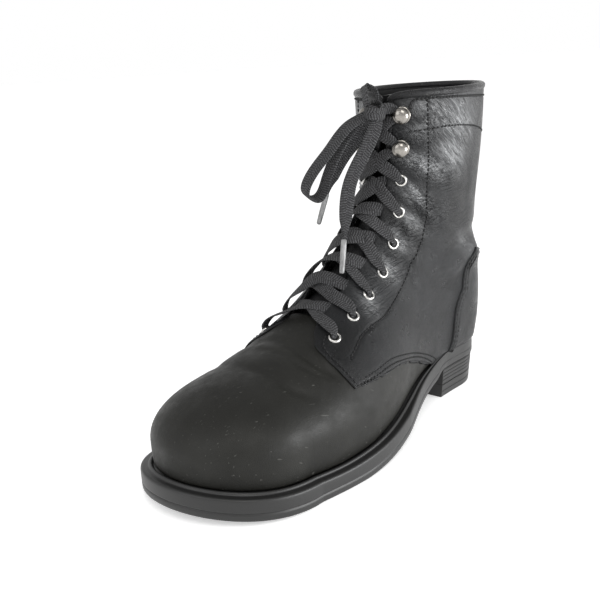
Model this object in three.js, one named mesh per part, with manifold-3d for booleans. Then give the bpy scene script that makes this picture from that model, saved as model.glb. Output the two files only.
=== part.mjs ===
import * as THREE from 'three';
import { mergeVertices } from 'three/addons/utils/BufferGeometryUtils.js';
import Module from 'manifold-3d';

const wasm = await Module();
wasm.setup();
const { Manifold } = wasm;

// A laced leather boot for the left foot, in millimetres.
// +X is the toe, +Y the outer side of the foot, +Z up, and X starts at the back of the heel.

// Upper
const upperLength = 280;
const ballWidth = 105;
const instepHeight = 123;
const collarHeight = 212;
const collarDepth = 117;
const collarWidth = 84;
const toeBoxHeight = 20;
const tipOffset = 4.4;
const wall = 2.4;
const quarterStep = 1.2;
const throatStart = 2.62;
const clearance = 0.3;
const flatness = 0.1;

// Heel counter, collar binding, tongue and insole
const counterThickness = 1.4;
const bindingThickness = 1.2;
const bindingLip = 5;
const tongueThickness = 2.2;
const tongueOverlap = 13;
const insoleThickness = 3;

// Sole
const heelHeight = 23.5;
const seatHeight = 35.5;
const weltThickness = 3.4;
const forefootThickness = 13.5;
const toeSpring = 8.5;
const ballFlat = 0.7;
const heelBreast = 60;
const liftThickness = 9.5;
const toeLedge = 8;
const heelLedge = 1.2;
const grooveDepth = 2;
const grooveWidth = 4;

// Eyelets, hooks and lace
const eyeletCount = 7;
const hookCount = 2;
const firstEyelet = 2.55;
const hookDrop = 11;
const boreRadius = 2.3;
const barrelWall = 0.6;
const flangeRadius = 4.1;
const flangeThickness = 1.1;
const hookRadius = 5.2;
const hookHeight = 6.9;
const hookNeck = 2.3;
const laceWidth = 8;
const laceThickness = 1.5;
const agletLength = 20;
const agletRadius = 1.9;

// A natural cubic spline through values at rising knots.
function spline(knots, values) {
  const n = knots.length;
  const bend = new Array(n).fill(0);
  const share = new Array(n).fill(0);
  for (let i = 1; i < n - 1; i++) {
    const left = knots[i] - knots[i - 1];
    const right = knots[i + 1] - knots[i];
    const ratio = left / (left + right);
    const pivot = ratio * share[i - 1] + 2;
    const jump = (values[i + 1] - values[i]) / right - (values[i] - values[i - 1]) / left;
    share[i] = (ratio - 1) / pivot;
    bend[i] = (6 * jump / (left + right) - ratio * bend[i - 1]) / pivot;
  }
  for (let i = n - 2; i >= 0; i--) bend[i] = share[i] * bend[i + 1] + bend[i];
  return (x) => {
    let i = 0;
    while (i < n - 2 && x > knots[i + 1]) i++;
    const step = knots[i + 1] - knots[i];
    const a = (knots[i + 1] - x) / step;
    const b = (x - knots[i]) / step;
    const curve = (a ** 3 - a) * bend[i] + (b ** 3 - b) * bend[i + 1];
    return a * values[i] + b * values[i + 1] + curve * step * step / 6;
  };
}

const clamp = (value, low, high) => Math.min(high, Math.max(low, value));
const mix = (a, b, share) => a + (b - a) * share;

// Sole, seen from the side: X as shares of the upper's length,
// the rise as shares of the heel seat and of the heel, the spring as shares of the toe spring.
const soleColumns = ['x', 'rise', 'spring'];
const soleRows = [
  [-0.03, 1.0, 0],
  [0.0, 1.0, 0],
  [0.11, 0.985, 0],
  [0.215, 0.92, 0],
  [0.32, 0.72, 0],
  [0.43, 0.45, 0],
  [0.535, 0.2, 0],
  [0.645, 0.03, 0.04],
  [0.73, 0, 0],
  [0.82, 0, 0.1],
  [0.91, 0, 0.36],
  [1.0, 0, 0.82],
  [1.03, 0, 1.02],
];
const soleColumn = (name) => soleRows.map((row) => row[soleColumns.indexOf(name)]);
const soleX = soleColumn('x').map((share) => share * upperLength);
const soleRise = spline(soleX, soleColumn('rise'));
const soleSpring = spline(soleX, soleColumn('spring'));
const soleTop = (x) => forefootThickness
  + (seatHeight - forefootThickness) * soleRise(x) + toeSpring * soleSpring(x);

// Upper: a row is a section from the ridge, or throat, down to the sole edge or back seam.
// ridgeX as shares of the way from the collar's depth to the toe, edgeX of the upper's length,
// heights of the instep, widths of the ball.
const footColumns = [
  'ridgeX', 'ridgeZ', 'edgeX', 'outer', 'inner', 'twist', 'belly', 'round', 'back', 'tuck'];
const footRows = [
  [0.663, 0.545, 0.804, 0.478, 0.49, 0, 0.66, 2.1, 0.342, 0.05],
  [0.54, 0.593, 0.732, 0.508, 0.474, 0, 0.68, 2.0, 0.342, 0.05],
  [0.423, 0.65, 0.654, 0.527, 0.442, 0, 0.7, 1.9, 0.342, 0.06],
  [0.313, 0.724, 0.564, 0.518, 0.402, 0.04, 0.7, 1.8, 0.342, 0.08],
  [0.215, 0.813, 0.457, 0.455, 0.362, 0.08, 0.68, 1.8, 0.342, 0.1],
  [0.129, 0.911, 0.339, 0.364, 0.324, 0.13, 0.66, 1.8, 0.325, 0.1],
  [0.062, 1.0, 0.214, 0.318, 0.305, 0.22, 0.62, 1.9, 0.308, 0.08],
  [0.005, 1.102, 0.1, 0.31, 0.305, 0.35, 0.6, 2.0, 0.29, 0.06],
];
// Shaft: X as shares of the collar's depth, widths of the collar, ridgeZ as a share of the way from
// the instep up to the collar, and edgeZ of the way from the heel seat up to the collar.
const shaftColumns = [
  'ridgeX', 'ridgeZ', 'edgeX', 'edgeZ', 'outer', 'inner', 'twist', 'belly', 'round', 'back', 'tuck'];
const shaftRows = [
  [0.957, 0.269, 0.0, 0, 0.393, 0.381, 0.47, 0.58, 2.0, 0.29, 0.03],
  [0.923, 0.402, -0.026, 0.188, 0.405, 0.393, 0.61, 0.56, 2.1, 0.308, 0],
  [0.906, 0.535, 0.0, 0.373, 0.417, 0.405, 0.75, 0.54, 2.2, 0.342, 0],
  [0.906, 0.669, 0.009, 0.547, 0.446, 0.429, 0.84, 0.53, 2.2, 0.393, 0],
  [0.906, 0.795, -0.014, 0.7, 0.476, 0.458, 0.91, 0.52, 2.2, 0.427, 0],
  [0.906, 0.909, -0.042, 0.85, 0.497, 0.48, 0.96, 0.52, 2.2, 0.462, 0],
  [0.915, 1.017, -0.064, 1.0, 0.508, 0.49, 1.0, 0.52, 2.2, 0.496, 0],
];
const collarTwist = 22;
const seatRow = footRows.length;
const lastRow = seatRow + shaftRows.length - 1;

const footColumn = (name) => footRows.map((row) => row[footColumns.indexOf(name)]);
const shaftColumn = (name) => shaftRows.map((row) => row[shaftColumns.indexOf(name)]);
function stationColumn(name, footSize, shaftSize) {
  const foot = footColumn(name).map((share) => share * footSize);
  return foot.concat(shaftColumn(name).map((share) => share * shaftSize));
}

const stations = [...Array(lastRow + 1).keys()];
const ridgeXs = footColumn('ridgeX').map((share) => mix(collarDepth, upperLength, share)).concat(
  shaftColumn('ridgeX').map((share) => share * collarDepth));
const ridgeZs = footColumn('ridgeZ').map((share) => share * instepHeight).concat(
  shaftColumn('ridgeZ').map((share) => mix(instepHeight, collarHeight, share)));
const edgeXs = stationColumn('edgeX', upperLength, collarDepth);
const backZs = shaftColumn('edgeZ').map((share) => mix(seatHeight, collarHeight, share));
const edgeZs = edgeXs.map((x, row) => (row < seatRow ? soleTop(x) : backZs[row - seatRow]));
const curves = {
  ridgeX: spline(stations, ridgeXs),
  ridgeZ: spline(stations, ridgeZs),
  edgeX: spline(stations, edgeXs),
  edgeZ: spline(stations, edgeZs),
  outer: spline(stations, stationColumn('outer', ballWidth, collarWidth)),
  inner: spline(stations, stationColumn('inner', ballWidth, collarWidth)),
  twist: spline(stations, stationColumn('twist', collarTwist, collarTwist)),
  belly: spline(stations, stationColumn('belly', 1, 1)),
  round: spline(stations, stationColumn('round', 1, 1)),
  back: spline(stations, stationColumn('back', collarDepth, collarDepth)),
  tuck: spline(stations, stationColumn('tuck', 1, 1)),
};
const backSeam = spline(edgeZs.slice(seatRow), edgeXs.slice(seatRow));
const toeRow = curves.ridgeX(0);
const toePower = 2.48;

// The section at station u, with the toe cap closing from u = 0 to u = -1, and grown outwards by out.
function section(u, out) {
  const close = Math.sin(clamp(-u, 0, 1) * Math.PI / 2);
  const v = clamp(u, 0, lastRow + 0.5);
  const row = Object.fromEntries(Object.entries(curves).map(([name, curve]) => [name, curve(v)]));
  if (u < 0) {
    const tip = upperLength + out;
    const x = toeRow + (tip - toeRow) * close;
    const slope = (curves.ridgeZ(0) - curves.ridgeZ(1)) / (curves.ridgeX(0) - curves.ridgeX(1));
    const ridge = curves.ridgeZ(0) + slope * (x - toeRow) * 0.5;
    const toeMiddle = soleTop(upperLength) + toeBoxHeight * 0.62;
    const cap = Math.sqrt(1 - Math.min(1, close ** (toePower + 0.3)));
    row.ridgeX = x;
    row.edgeX = x;
    row.ridgeZ = toeMiddle + (ridge + out - toeMiddle) * cap;
    row.edgeZ = soleTop(x);
    row.shrink = Math.sqrt(1 - Math.min(1, close ** toePower));
    const middle = (row.ridgeZ - toeMiddle) / Math.max(row.ridgeZ - row.edgeZ, 1e-6);
    row.belly = mix(row.belly, middle, close);
    row.centre = -tipOffset * close ** 2;
    return row;
  }
  const step = 0.02;
  const before = Math.max(0, v - step);
  const dx = curves.ridgeX(v + step) - curves.ridgeX(before);
  const dz = curves.ridgeZ(v + step) - curves.ridgeZ(before);
  const length = Math.hypot(dx, dz);
  const blend = clamp(v / 0.6, 0, 1);
  row.ridgeX += out * mix(0, dz / length, blend);
  row.ridgeZ += out * mix(1, -dx / length, blend);
  if (v >= seatRow) row.edgeX = backSeam(clamp(row.edgeZ, seatHeight, collarHeight + 6));
  else row.edgeZ = soleTop(row.edgeX);
  row.edgeX -= out * clamp(v - seatRow + 1, 0, 1);
  row.shrink = 1;
  row.centre = 0;
  return row;
}

// A point of the upper: t runs from the ridge at 0 to the sole edge or back seam at 1.
function upperPoint(u, t, side, out = 0) {
  const row = section(u, out);
  const x = mix(row.ridgeX, row.edgeX, t);
  const z = mix(row.ridgeZ, row.edgeZ, t);
  const belly = Math.max(row.belly, 1e-4);
  const width = ((side > 0 ? row.outer : row.inner) + out) * row.shrink;
  const above = clamp((belly - t) / belly, 0, 1);
  const below = clamp((t - belly) / (1 - belly), 0, 1);
  const reach = row.back + out;
  const seam = backSeam(clamp(z, seatHeight, collarHeight + 6)) - out;
  const behind = clamp((reach - (x - seam)) / reach, 0, 1);
  const top = Math.sqrt(1 - above ** row.round);
  const heel = Math.sqrt(Math.max(0, 1 - behind ** 2.3));
  const tuck = 1 - row.tuck * (1 - Math.sqrt(1 - below ** 2.5));
  const y = row.centre + row.twist * (1 - t) ** 1.5 + side * width * top * heel * tuck;
  return [x, y, z];
}

// The share t at which the section reaches the given half width from its ridge.
function acrossToShare(u, side, distance) {
  const row = section(u, 0);
  const width = side > 0 ? row.outer : row.inner;
  const above = (1 - clamp(distance / width, 0, 0.98) ** 2) ** (1 / row.round);
  return row.belly * (1 - above);
}

// Half of the gap between the facings, and the eyelets' distance from its middle, at stations up
// the throat, as shares of the ball's width.
const throatColumns = ['station', 'gap', 'eyelet'];
const throatRows = [
  [2, 0.114, 0.268],
  [3, 0.118, 0.266],
  [4, 0.12, 0.254],
  [5.2, 0.131, 0.224],
  [6.4, 0.12, 0.197],
  [7.6, 0.095, 0.171],
  [9, 0.067, 0.146],
  [10.5, 0.048, 0.124],
  [12.5, 0.038, 0.114],
  [14.5, 0.048, 0.114],
];
const throatColumn = (name) => throatRows.map((row) => row[throatColumns.indexOf(name)]);
const throatCurve = (name) => spline(
  throatColumn('station'), throatColumn(name).map((part) => part * ballWidth));
const throatHalf = throatCurve('gap');
const eyeletHalf = throatCurve('eyelet');

// Vertices and faces with the vertices that coincide joined and the flat faces left out.
class Shell {
  constructor() {
    this.points = [];
    this.faces = [];
    this.found = new Map();
  }
  vertex(p) {
    const key = p.map((value) => Math.round(value * 2000)).join();
    if (!this.found.has(key)) {
      this.found.set(key, this.points.length);
      this.points.push(p);
    }
    return this.found.get(key);
  }
  triangle(a, b, c) {
    if (a !== b && b !== c && c !== a) this.faces.push([a, b, c]);
  }
  quad(p, q, r, s) {
    const [a, b, c, d] = [p, q, r, s].map((point) => this.vertex(point));
    this.triangle(a, b, c);
    this.triangle(a, c, d);
  }
  manifold() {
    const mesh = new wasm.Mesh({
      numProp: 3,
      vertProperties: new Float32Array(this.points.flat()),
      triVerts: new Uint32Array(this.faces.flat()),
    });
    return new Manifold(mesh);
  }
}

// A solid between two grids of points that share their layout: outside[i][j] over inside[i][j].
// capStart, capEnd and capSide say which rims are closed by a strip of faces.
function sheetSolid(outside, inside, capStart = true, capEnd = true, capSide = () => true) {
  const shell = new Shell();
  const rows = outside.length;
  const columns = outside[0].length;
  for (let i = 0; i + 1 < rows; i++) {
    for (let j = 0; j + 1 < columns; j++) {
      shell.quad(outside[i][j], outside[i + 1][j], outside[i + 1][j + 1], outside[i][j + 1]);
      shell.quad(inside[i][j], inside[i][j + 1], inside[i + 1][j + 1], inside[i + 1][j]);
    }
    if (capSide(i)) {
      const j = columns - 1;
      shell.quad(outside[i][0], inside[i][0], inside[i + 1][0], outside[i + 1][0]);
      shell.quad(outside[i][j], outside[i + 1][j], inside[i + 1][j], inside[i][j]);
    }
  }
  for (let j = 0; j + 1 < columns; j++) {
    const k = rows - 1;
    if (capStart) shell.quad(outside[0][j], outside[0][j + 1], inside[0][j + 1], inside[0][j]);
    if (capEnd) shell.quad(outside[k][j], inside[k][j], inside[k][j + 1], outside[k][j + 1]);
  }
  return outwards(shell.manifold());
}

// The same solid with its faces turned outwards when the grids were given the other way round.
function outwards(solid) {
  if (solid.volume() >= 0) return solid;
  const mesh = solid.getMesh();
  for (let i = 0; i < mesh.triVerts.length; i += 3) {
    const first = mesh.triVerts[i];
    mesh.triVerts[i] = mesh.triVerts[i + 1];
    mesh.triVerts[i + 1] = first;
  }
  return new Manifold(mesh);
}

// A closed solid swept through rings of points, one ring a station.
function loft(rings, closed = false) {
  const shell = new Shell();
  const count = rings[0].length;
  const last = closed ? rings.length : rings.length - 1;
  for (let i = 0; i < last; i++) {
    const ring = rings[i];
    const next = rings[(i + 1) % rings.length];
    for (let j = 0; j < count; j++) {
      const k = (j + 1) % count;
      shell.quad(ring[j], ring[k], next[k], next[j]);
    }
  }
  if (!closed) {
    for (const [ring, turned] of [[rings[0], true], [rings[rings.length - 1], false]]) {
      const face = THREE.ShapeUtils.triangulateShape(flatRing(ring), []);
      for (const [a, b, c] of face) {
        const [p, q, r] = [a, b, c].map((index) => shell.vertex(ring[index]));
        if (turned) shell.triangle(p, r, q);
        else shell.triangle(p, q, r);
      }
    }
  }
  return outwards(shell.manifold());
}

// A ring in the plane that suits it best, for its end face.
function flatRing(ring) {
  const points = ring.map((p) => new THREE.Vector3(...p));
  const normal = new THREE.Vector3();
  points.forEach((p, i) => normal.add(p.clone().cross(points[(i + 1) % points.length])));
  normal.normalize();
  const side = points[1].clone().sub(points[0]).normalize();
  const up = normal.clone().cross(side).normalize();
  return points.map((p) => new THREE.Vector2(p.dot(side), p.dot(up)));
}

// A solid of a mesh geometry.
function solidOf(geometry) {
  const bare = geometry.clone();
  bare.deleteAttribute('normal');
  bare.deleteAttribute('uv');
  const merged = mergeVertices(bare, 1e-4);
  const mesh = new wasm.Mesh({
    numProp: 3,
    vertProperties: new Float32Array(merged.attributes.position.array),
    triVerts: new Uint32Array(merged.index.array),
  });
  return outwards(new Manifold(mesh));
}

// A mesh geometry of a solid.
function geometryOf(solid) {
  const mesh = solid.asOriginal().simplify(flatness).getMesh();
  const geometry = new THREE.BufferGeometry();
  geometry.setAttribute('position', new THREE.BufferAttribute(new Float32Array(mesh.vertProperties), 3));
  geometry.setIndex(new THREE.BufferAttribute(new Uint32Array(mesh.triVerts), 1));
  geometry.computeVertexNormals();
  return geometry;
}

// A prism across the boot over an outline given in X and Z.
function sidePrism(outline, from, to) {
  const near = outline.map(([x, z]) => [x, from, z]);
  const far = outline.map(([x, z]) => [x, to, z]);
  return loft([near, far]);
}

// A smooth run of points through a few given ones.
function smooth(points, count) {
  const curve = new THREE.SplineCurve(points.map(([x, z]) => new THREE.Vector2(x, z)));
  return curve.getPoints(count).map((p) => [p.x, p.y]);
}

// Grids over the upper. Shares across a section are close at the ridge and at the back.
const ridgeColumns = 6;
const edgeColumns = 4;
function shares(u) {
  const belly = section(u, 0).belly;
  const list = [];
  for (let j = 0; j < ridgeColumns; j++) {
    list.push(belly * (1 - Math.cos(j / ridgeColumns * Math.PI / 2)));
  }
  for (let j = 0; j <= edgeColumns; j++) {
    list.push(belly + (1 - belly) * Math.sin(j / edgeColumns * Math.PI / 2));
  }
  return list;
}

function upperGrid(rows, out) {
  return rows.map((u) => {
    const list = shares(u);
    const inner = list.slice(1).reverse().map((t) => upperPoint(u, t, -1, out));
    return inner.concat(list.map((t) => upperPoint(u, t, 1, out)));
  });
}

const steps = (from, to, count) => [...Array(count + 1).keys()].map((i) => mix(from, to, i / count));
const toeRows = steps(-1, 0, 8).slice(0, -1);
const vampRows = steps(0, 7, 13).slice(0, -1);
const heelRows = [7, 7.4, 7.7, 7.9];
const upperRows = toeRows.concat(vampRows, heelRows, steps(seatRow, lastRow, 11));

function upperShell(rows, out, inside) {
  return sheetSolid(
    upperGrid(rows, out), upperGrid(rows, inside), rows[0] > -1, true, (i) => rows[i] < seatRow);
}

// A position on the upper with its outward normal and the direction up the throat.
function seat(u, t, side, out) {
  const point = new THREE.Vector3(...upperPoint(u, t, side, out));
  const step = 0.02;
  const up = new THREE.Vector3(...upperPoint(u + step, t, side, out)).sub(
    new THREE.Vector3(...upperPoint(u - step, t, side, out))).normalize();
  const across = new THREE.Vector3(...upperPoint(u, t + step, side, out)).sub(
    new THREE.Vector3(...upperPoint(u, Math.max(0, t - step), side, out))).normalize();
  const normal = across.clone().cross(up).normalize();
  if (normal.y * side < 0 && Math.abs(normal.y) > 0.2) normal.negate();
  else if (normal.x < 0 && Math.abs(normal.y) <= 0.2) normal.negate();
  return { point, normal, up };
}

// Stations of the eyelets and hooks: evenly spaced along the outer facing, with the last hook
// a set drop below the collar's rim.
function eyeletStations() {
  const ladder = steps(firstEyelet, lastRow, 400);
  const spots = ladder.map(
    (u) => new THREE.Vector3(...upperPoint(u, acrossToShare(u, 1, eyeletHalf(u)), 1, quarterStep)));
  const runs = [0];
  for (let i = 1; i < spots.length; i++) runs.push(runs[i - 1] + spots[i].distanceTo(spots[i - 1]));
  const reach = runs.at(-1) - hookDrop;
  return steps(0, reach, eyeletCount + hookCount - 1).map((run) => {
    const next = Math.max(1, runs.findIndex((value) => value >= run));
    return mix(ladder[next - 1], ladder[next], (run - runs[next - 1]) / (runs[next] - runs[next - 1]));
  });
}

const fastenerStations = eyeletStations();
function fastenerSeats(side, out) {
  return fastenerStations.map((u) => seat(u, acrossToShare(u, side, eyeletHalf(u)), side, out));
}

// Turns a piece made about +Z so that it stands on the seat.
function placed(solid, { point, normal }, lift = 0) {
  const turn = new THREE.Quaternion().setFromUnitVectors(new THREE.Vector3(0, 0, 1), normal);
  const spot = point.clone().addScaledVector(normal, lift);
  const matrix = new THREE.Matrix4().compose(spot, turn, new THREE.Vector3(1, 1, 1));
  return solid.transform(matrix.toArray());
}

const sides = [['outer', 1], ['inner', -1]];

// Side outlines as shares of the upper's length and of the instep's height: the quarters in front
// along the facing's foot, then back along the vamp seam, and the front of the heel counter.
const quarterFront = [[0.628, 0.72], [0.676, 0.64], [0.684, 0.55], [0.672, 0.46], [0.655, 0.425]];
const quarterFoot = [
  [0.655, 0.425], [0.57, 0.445], [0.48, 0.425], [0.4, 0.375], [0.34, 0.32], [0.27, 0.24]];
const counterLine = [
  [0.205, 0.24], [0.188, 0.34], [0.18, 0.46], [0.168, 0.573], [0.15, 0.713], [0.124, 0.81],
  [0.07, 0.87], [-0.03, 0.9]];
const sideShare = ([x, z]) => [x * upperLength, z * instepHeight];

function makeUpper() {
  const base = upperShell(upperRows, 0, -wall);
  const quarterRows = upperRows.filter((u) => u > 1.2);
  const raised = upperShell(quarterRows, quarterStep, -wall * 0.5);
  const high = collarHeight * 1.1;
  const ahead = upperLength * 0.628;
  const outline = [[ahead, high]].concat(
    smooth(quarterFront.map(sideShare), 8),
    smooth(quarterFoot.map(sideShare), 12).slice(1),
    [[upperLength * 0.2, -5], [-collarDepth * 0.4, -5], [-collarDepth * 0.4, high]]);
  const quarters = raised.intersect(sidePrism(outline, -ballWidth, ballWidth));
  let upper = base.add(quarters).subtract(throatCutter());
  const boreSize = boreRadius + barrelWall + clearance;
  const bore = solidOf(new THREE.CylinderGeometry(boreSize, boreSize, wall * 4, 12).rotateX(Math.PI / 2));
  for (const [, side] of sides) {
    const seats = fastenerSeats(side, quarterStep).slice(0, eyeletCount);
    for (const spot of seats) upper = upper.subtract(placed(bore, spot));
  }
  return largest(upper);
}

function largest(solid) {
  const parts = solid.decompose();
  return parts.sort((a, b) => b.volume() - a.volume())[0];
}

function throatCutter() {
  const rows = [throatStart - 0.25, throatStart - 0.1].concat(steps(throatStart, lastRow + 0.4, 18));
  const grid = (out) => rows.map((u) => {
    const round = Math.sqrt(clamp((u - rows[0] + 0.02) / 0.45, 0, 1));
    const line = (side) => [0.45, 0.8, 1].map((part) => {
      const share = acrossToShare(u, side, throatHalf(u) * round);
      return upperPoint(u, share * part, side, out);
    });
    return line(-1).reverse().concat([upperPoint(u, 0, 1, out)], line(1));
  });
  return sheetSolid(grid(8), grid(-7));
}

// Heel counter: cut by its side outline from a sheet that lies on the quarters.
function makeCounter() {
  const rows = heelRows.concat(steps(seatRow, seatRow + 3, 7));
  const low = steps(5, 7, 5).slice(0, -1);
  const under = quarterStep + clearance;
  const sheet = upperShell(low.concat(rows), under + counterThickness, under);
  const outline = smooth(counterLine.map(sideShare), 16).concat(
    [[-20, instepHeight * 0.9], [-20, -5], [upperLength * 0.205, -5]]);
  return largest(sheet.intersect(sidePrism(outline, -ballWidth, ballWidth)));
}

// Collar binding: a folded strip over the rim, from facing to facing around the back.
function makeBinding() {
  const middle = (quarterStep - wall) / 2;
  const half = (quarterStep + wall) / 2 + clearance * 2.5;
  const whole = half + bindingThickness;
  const profile = [
    [-whole, -bindingLip], [-whole, clearance + 0.4], [-half * 0.5, clearance + bindingThickness + 0.8],
    [half * 0.5, clearance + bindingThickness + 0.8], [whole, clearance + 0.4], [whole, -bindingLip],
    [half, -bindingLip], [half, clearance], [-half, clearance], [-half, -bindingLip]];
  const start = acrossToShare(lastRow, 1, throatHalf(lastRow)) + 0.004;
  const shareList = [start].concat(shares(lastRow).filter((t) => t > start + 0.01));
  const spots = shareList.map((t) => [t, 1]).concat(shareList.slice(0, -1).reverse().map((t) => [t, -1]));
  const rings = spots.map(([t, side], index) => {
    const [x, y, z] = upperPoint(lastRow, t, side, middle);
    const before = spots[Math.max(0, index - 1)];
    const after = spots[Math.min(spots.length - 1, index + 1)];
    const p = upperPoint(lastRow, before[0], before[1], middle);
    const q = upperPoint(lastRow, after[0], after[1], middle);
    const along = new THREE.Vector2(q[0] - p[0], q[1] - p[1]).normalize();
    const under = upperPoint(lastRow - 0.4, t, side, middle);
    const up = new THREE.Vector3(x - under[0], y - under[1], z - under[2]).normalize();
    return profile.map(([a, b]) => [x - along.y * a + up.x * b, y + along.x * a + up.y * b, z + up.z * b]);
  });
  return loft(rings);
}

// Tongue: close under the upper where it is sewn in, then lower by the room that the lace takes.
function makeTongue() {
  const laceRoom = (u) => (laceThickness + clearance) * clamp((u - throatStart) / 1.5, 0, 1);
  const rows = steps(throatStart - 0.75, lastRow + 0.15, 15);
  const underBinding = (u) => bindingThickness * clamp(u - lastRow + 2, 0, 1);
  const grid = (gap) => rows.map((u) => {
    const out = -(wall + clearance * 2 + gap + laceRoom(u) + underBinding(u));
    const half = throatHalf(u) + tongueOverlap * clamp((u - rows[0] + 0.5) / 1.2, 0.3, 1);
    const line = (side) => [0.2, 0.55, 1].map(
      (part) => upperPoint(u, acrossToShare(u, side, half) * part, side, out));
    return line(-1).reverse().concat([upperPoint(u, 0, 1, out)], line(1));
  });
  return sheetSolid(grid(0), grid(tongueThickness));
}

// Plan of the sole and insole: half width at x, grown beyond the upper's lower edge by a ledge.
function planHalf(x, side, grow) {
  const tip = upperLength + grow;
  const heel = -grow;
  const toeShare = clamp((x - toeRow) / (tip - toeRow), 0, 1);
  const heelReach = curves.back(seatRow) + grow;
  const heelShare = clamp((heelReach - (x - heel)) / heelReach, 0, 1);
  const name = side > 0 ? 'outer' : 'inner';
  const u = clamp(stationAt(x), 0, seatRow);
  const width = curves[name](u) * (1 - curves.tuck(u) * 0.8) + grow;
  const toe = Math.sqrt(Math.max(0, 1 - toeShare ** toePower));
  const close = toe * Math.sqrt(Math.max(0, 1 - heelShare ** 2.3));
  return -tipOffset * toeShare ** 2 + side * width * close;
}
function stationAt(x) {
  let low = 0;
  let high = seatRow;
  for (let i = 0; i < 24; i++) {
    const middle = (low + high) / 2;
    if (curves.edgeX(middle) > x) low = middle;
    else high = middle;
  }
  return (low + high) / 2;
}
const ledgeAt = (x) => mix(heelLedge, toeLedge, clamp((x / upperLength - 0.2) / 0.28, 0, 1));

// X stations between two ends, close together at rounded ends.
function lengthStations(from, to, count, roundStart, roundEnd) {
  return steps(0, 1, count).map((s) => {
    if (roundStart && roundEnd) return mix(from, to, (1 - Math.cos(s * Math.PI)) / 2);
    if (roundEnd) return mix(from, to, Math.sin(s * Math.PI / 2));
    if (roundStart) return mix(from, to, 1 - Math.cos(s * Math.PI / 2));
    return mix(from, to, s);
  });
}

// A plate under or in the boot. layers(x) gives pairs of height and outward growth from bottom to top.
function plate(from, to, count, layers, roundStart = true, roundEnd = true, extra = []) {
  const places = lengthStations(from, to, count, roundStart, roundEnd);
  const rings = places.concat(extra).sort((a, b) => a - b).map((s) => {
    const share = (s - from) / (to - from);
    const ring = (side) => layers(s).map(([, grow], level) => {
      const x = mix(roundStart ? from - grow : from, roundEnd ? to + grow : to, share);
      return [x, planHalf(x, side, grow), layers(x)[level][0]];
    });
    return ring(1).concat(ring(-1).reverse());
  });
  return loft(rings);
}

function makeWelt() {
  return plate(0, upperLength, 32, (x) => {
    const top = soleTop(x) - clearance;
    const grow = ledgeAt(x);
    return [
      [top - weltThickness, grow - 0.3], [top - weltThickness + 0.8, grow],
      [top - 0.8, grow], [top, grow - 0.6]];
  });
}

function makeInsole() {
  return plate(0, upperLength, 28, (x) => {
    const low = soleTop(x);
    const grow = -(wall + clearance + 0.8);
    return [[low, grow], [low + insoleThickness, grow]];
  });
}

// Underside of the outsole: level over the heel, then down the arch, flat on the floor under the
// ball and up at the toe.
function outsoleBottom(x) {
  const seatLevel = seatHeight - clearance * 2 - weltThickness - outsoleThickness;
  const arch = soleTop(x) - forefootThickness - ballFlat;
  const blend = clamp((x - heelBreast - 3) / 10, 0, 1);
  return mix(seatLevel, Math.max(arch, 0), blend);
}
const outsoleThickness = forefootThickness - weltThickness - clearance * 2;

function makeOutsole() {
  const body = plate(0, upperLength, 34, (x) => {
    const top = soleTop(x) - weltThickness - clearance * 2;
    const low = Math.min(outsoleBottom(x), top - 4);
    const grow = ledgeAt(x);
    return [[low, grow - 1.6], [low + 1.6, grow - 0.2], [top - 1, grow], [top, grow - 0.4]];
  }, true, true, [heelBreast + 3]);
  let outsole = body;
  for (let i = 0; i < 7; i++) {
    const x = upperLength * (0.6 + 0.048 * i);
    for (const side of [1, -1]) {
      const reach = Math.abs(planHalf(x, side, 0)) - 6;
      const bar = new THREE.BoxGeometry(grooveWidth, reach - 3, grooveDepth * 2);
      bar.rotateZ(side * 0.32).translate(x, side * (3 + reach) / 2, outsoleBottom(x));
      outsole = outsole.subtract(solidOf(bar));
    }
  }
  return outsole;
}

// Heel: a block under the outsole and a rubber lift under it, both tapering towards the floor.
function heelPiece(low, high) {
  const taper = (z) => 0.6 + 2.2 * (1 - z / heelHeight) - heelLedge;
  return plate(0, heelBreast, 14, () => [
    [low, -taper(low)], [low + 0.7, 0.2 - taper(low)],
    [high - 0.7, 0.2 - taper(high)], [high, -taper(high)]], true, false);
}
const heelTop = seatHeight - clearance * 3 - weltThickness - outsoleThickness;
function makeHeelBlock() {
  return heelPiece(liftThickness + clearance, heelTop);
}
function makeTopLift() {
  let lift = heelPiece(0, liftThickness);
  for (let i = 0; i < 4; i++) {
    const x = heelBreast * (0.2 + 0.2 * i);
    const bar = new THREE.BoxGeometry(grooveWidth, collarWidth * 0.42, grooveDepth * 2).translate(x, 0, 0);
    lift = lift.subtract(solidOf(bar));
  }
  return lift;
}

// Eyelet: a barrel through the leather with a rolled flange over it.
function makeEyelet() {
  const outside = boreRadius + barrelWall;
  const under = clearance + 0.1;
  const low = clearance * 2 - wall - quarterStep;
  const profile = [
    [boreRadius, low], [outside, low], [outside, under], [flangeRadius, under],
    [mix(boreRadius, flangeRadius, 0.6), under + flangeThickness],
    [boreRadius, under + flangeThickness * 0.6]];
  const points = profile.concat([profile[0]]).map(([r, z]) => new THREE.Vector2(r, z));
  return solidOf(new THREE.LatheGeometry(points, 9).rotateX(Math.PI / 2));
}

// Hook: a round base on the leather, a neck that holds the lace and a domed head.
function makeHook() {
  const base = clearance + 0.2;
  const profile = [
    [0, base], [hookRadius, base], [hookRadius, base + 0.9], [hookNeck, base + 1.3],
    [hookNeck, hookHeight - 2.7], [hookRadius, hookHeight - 2.2], [hookRadius * 0.92, hookHeight - 1],
    [hookRadius * 0.55, hookHeight - 0.1], [0, hookHeight + 0.2]];
  const points = profile.map(([r, z]) => new THREE.Vector2(r, z));
  return solidOf(new THREE.LatheGeometry(points, 9).rotateX(Math.PI / 2));
}

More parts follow.
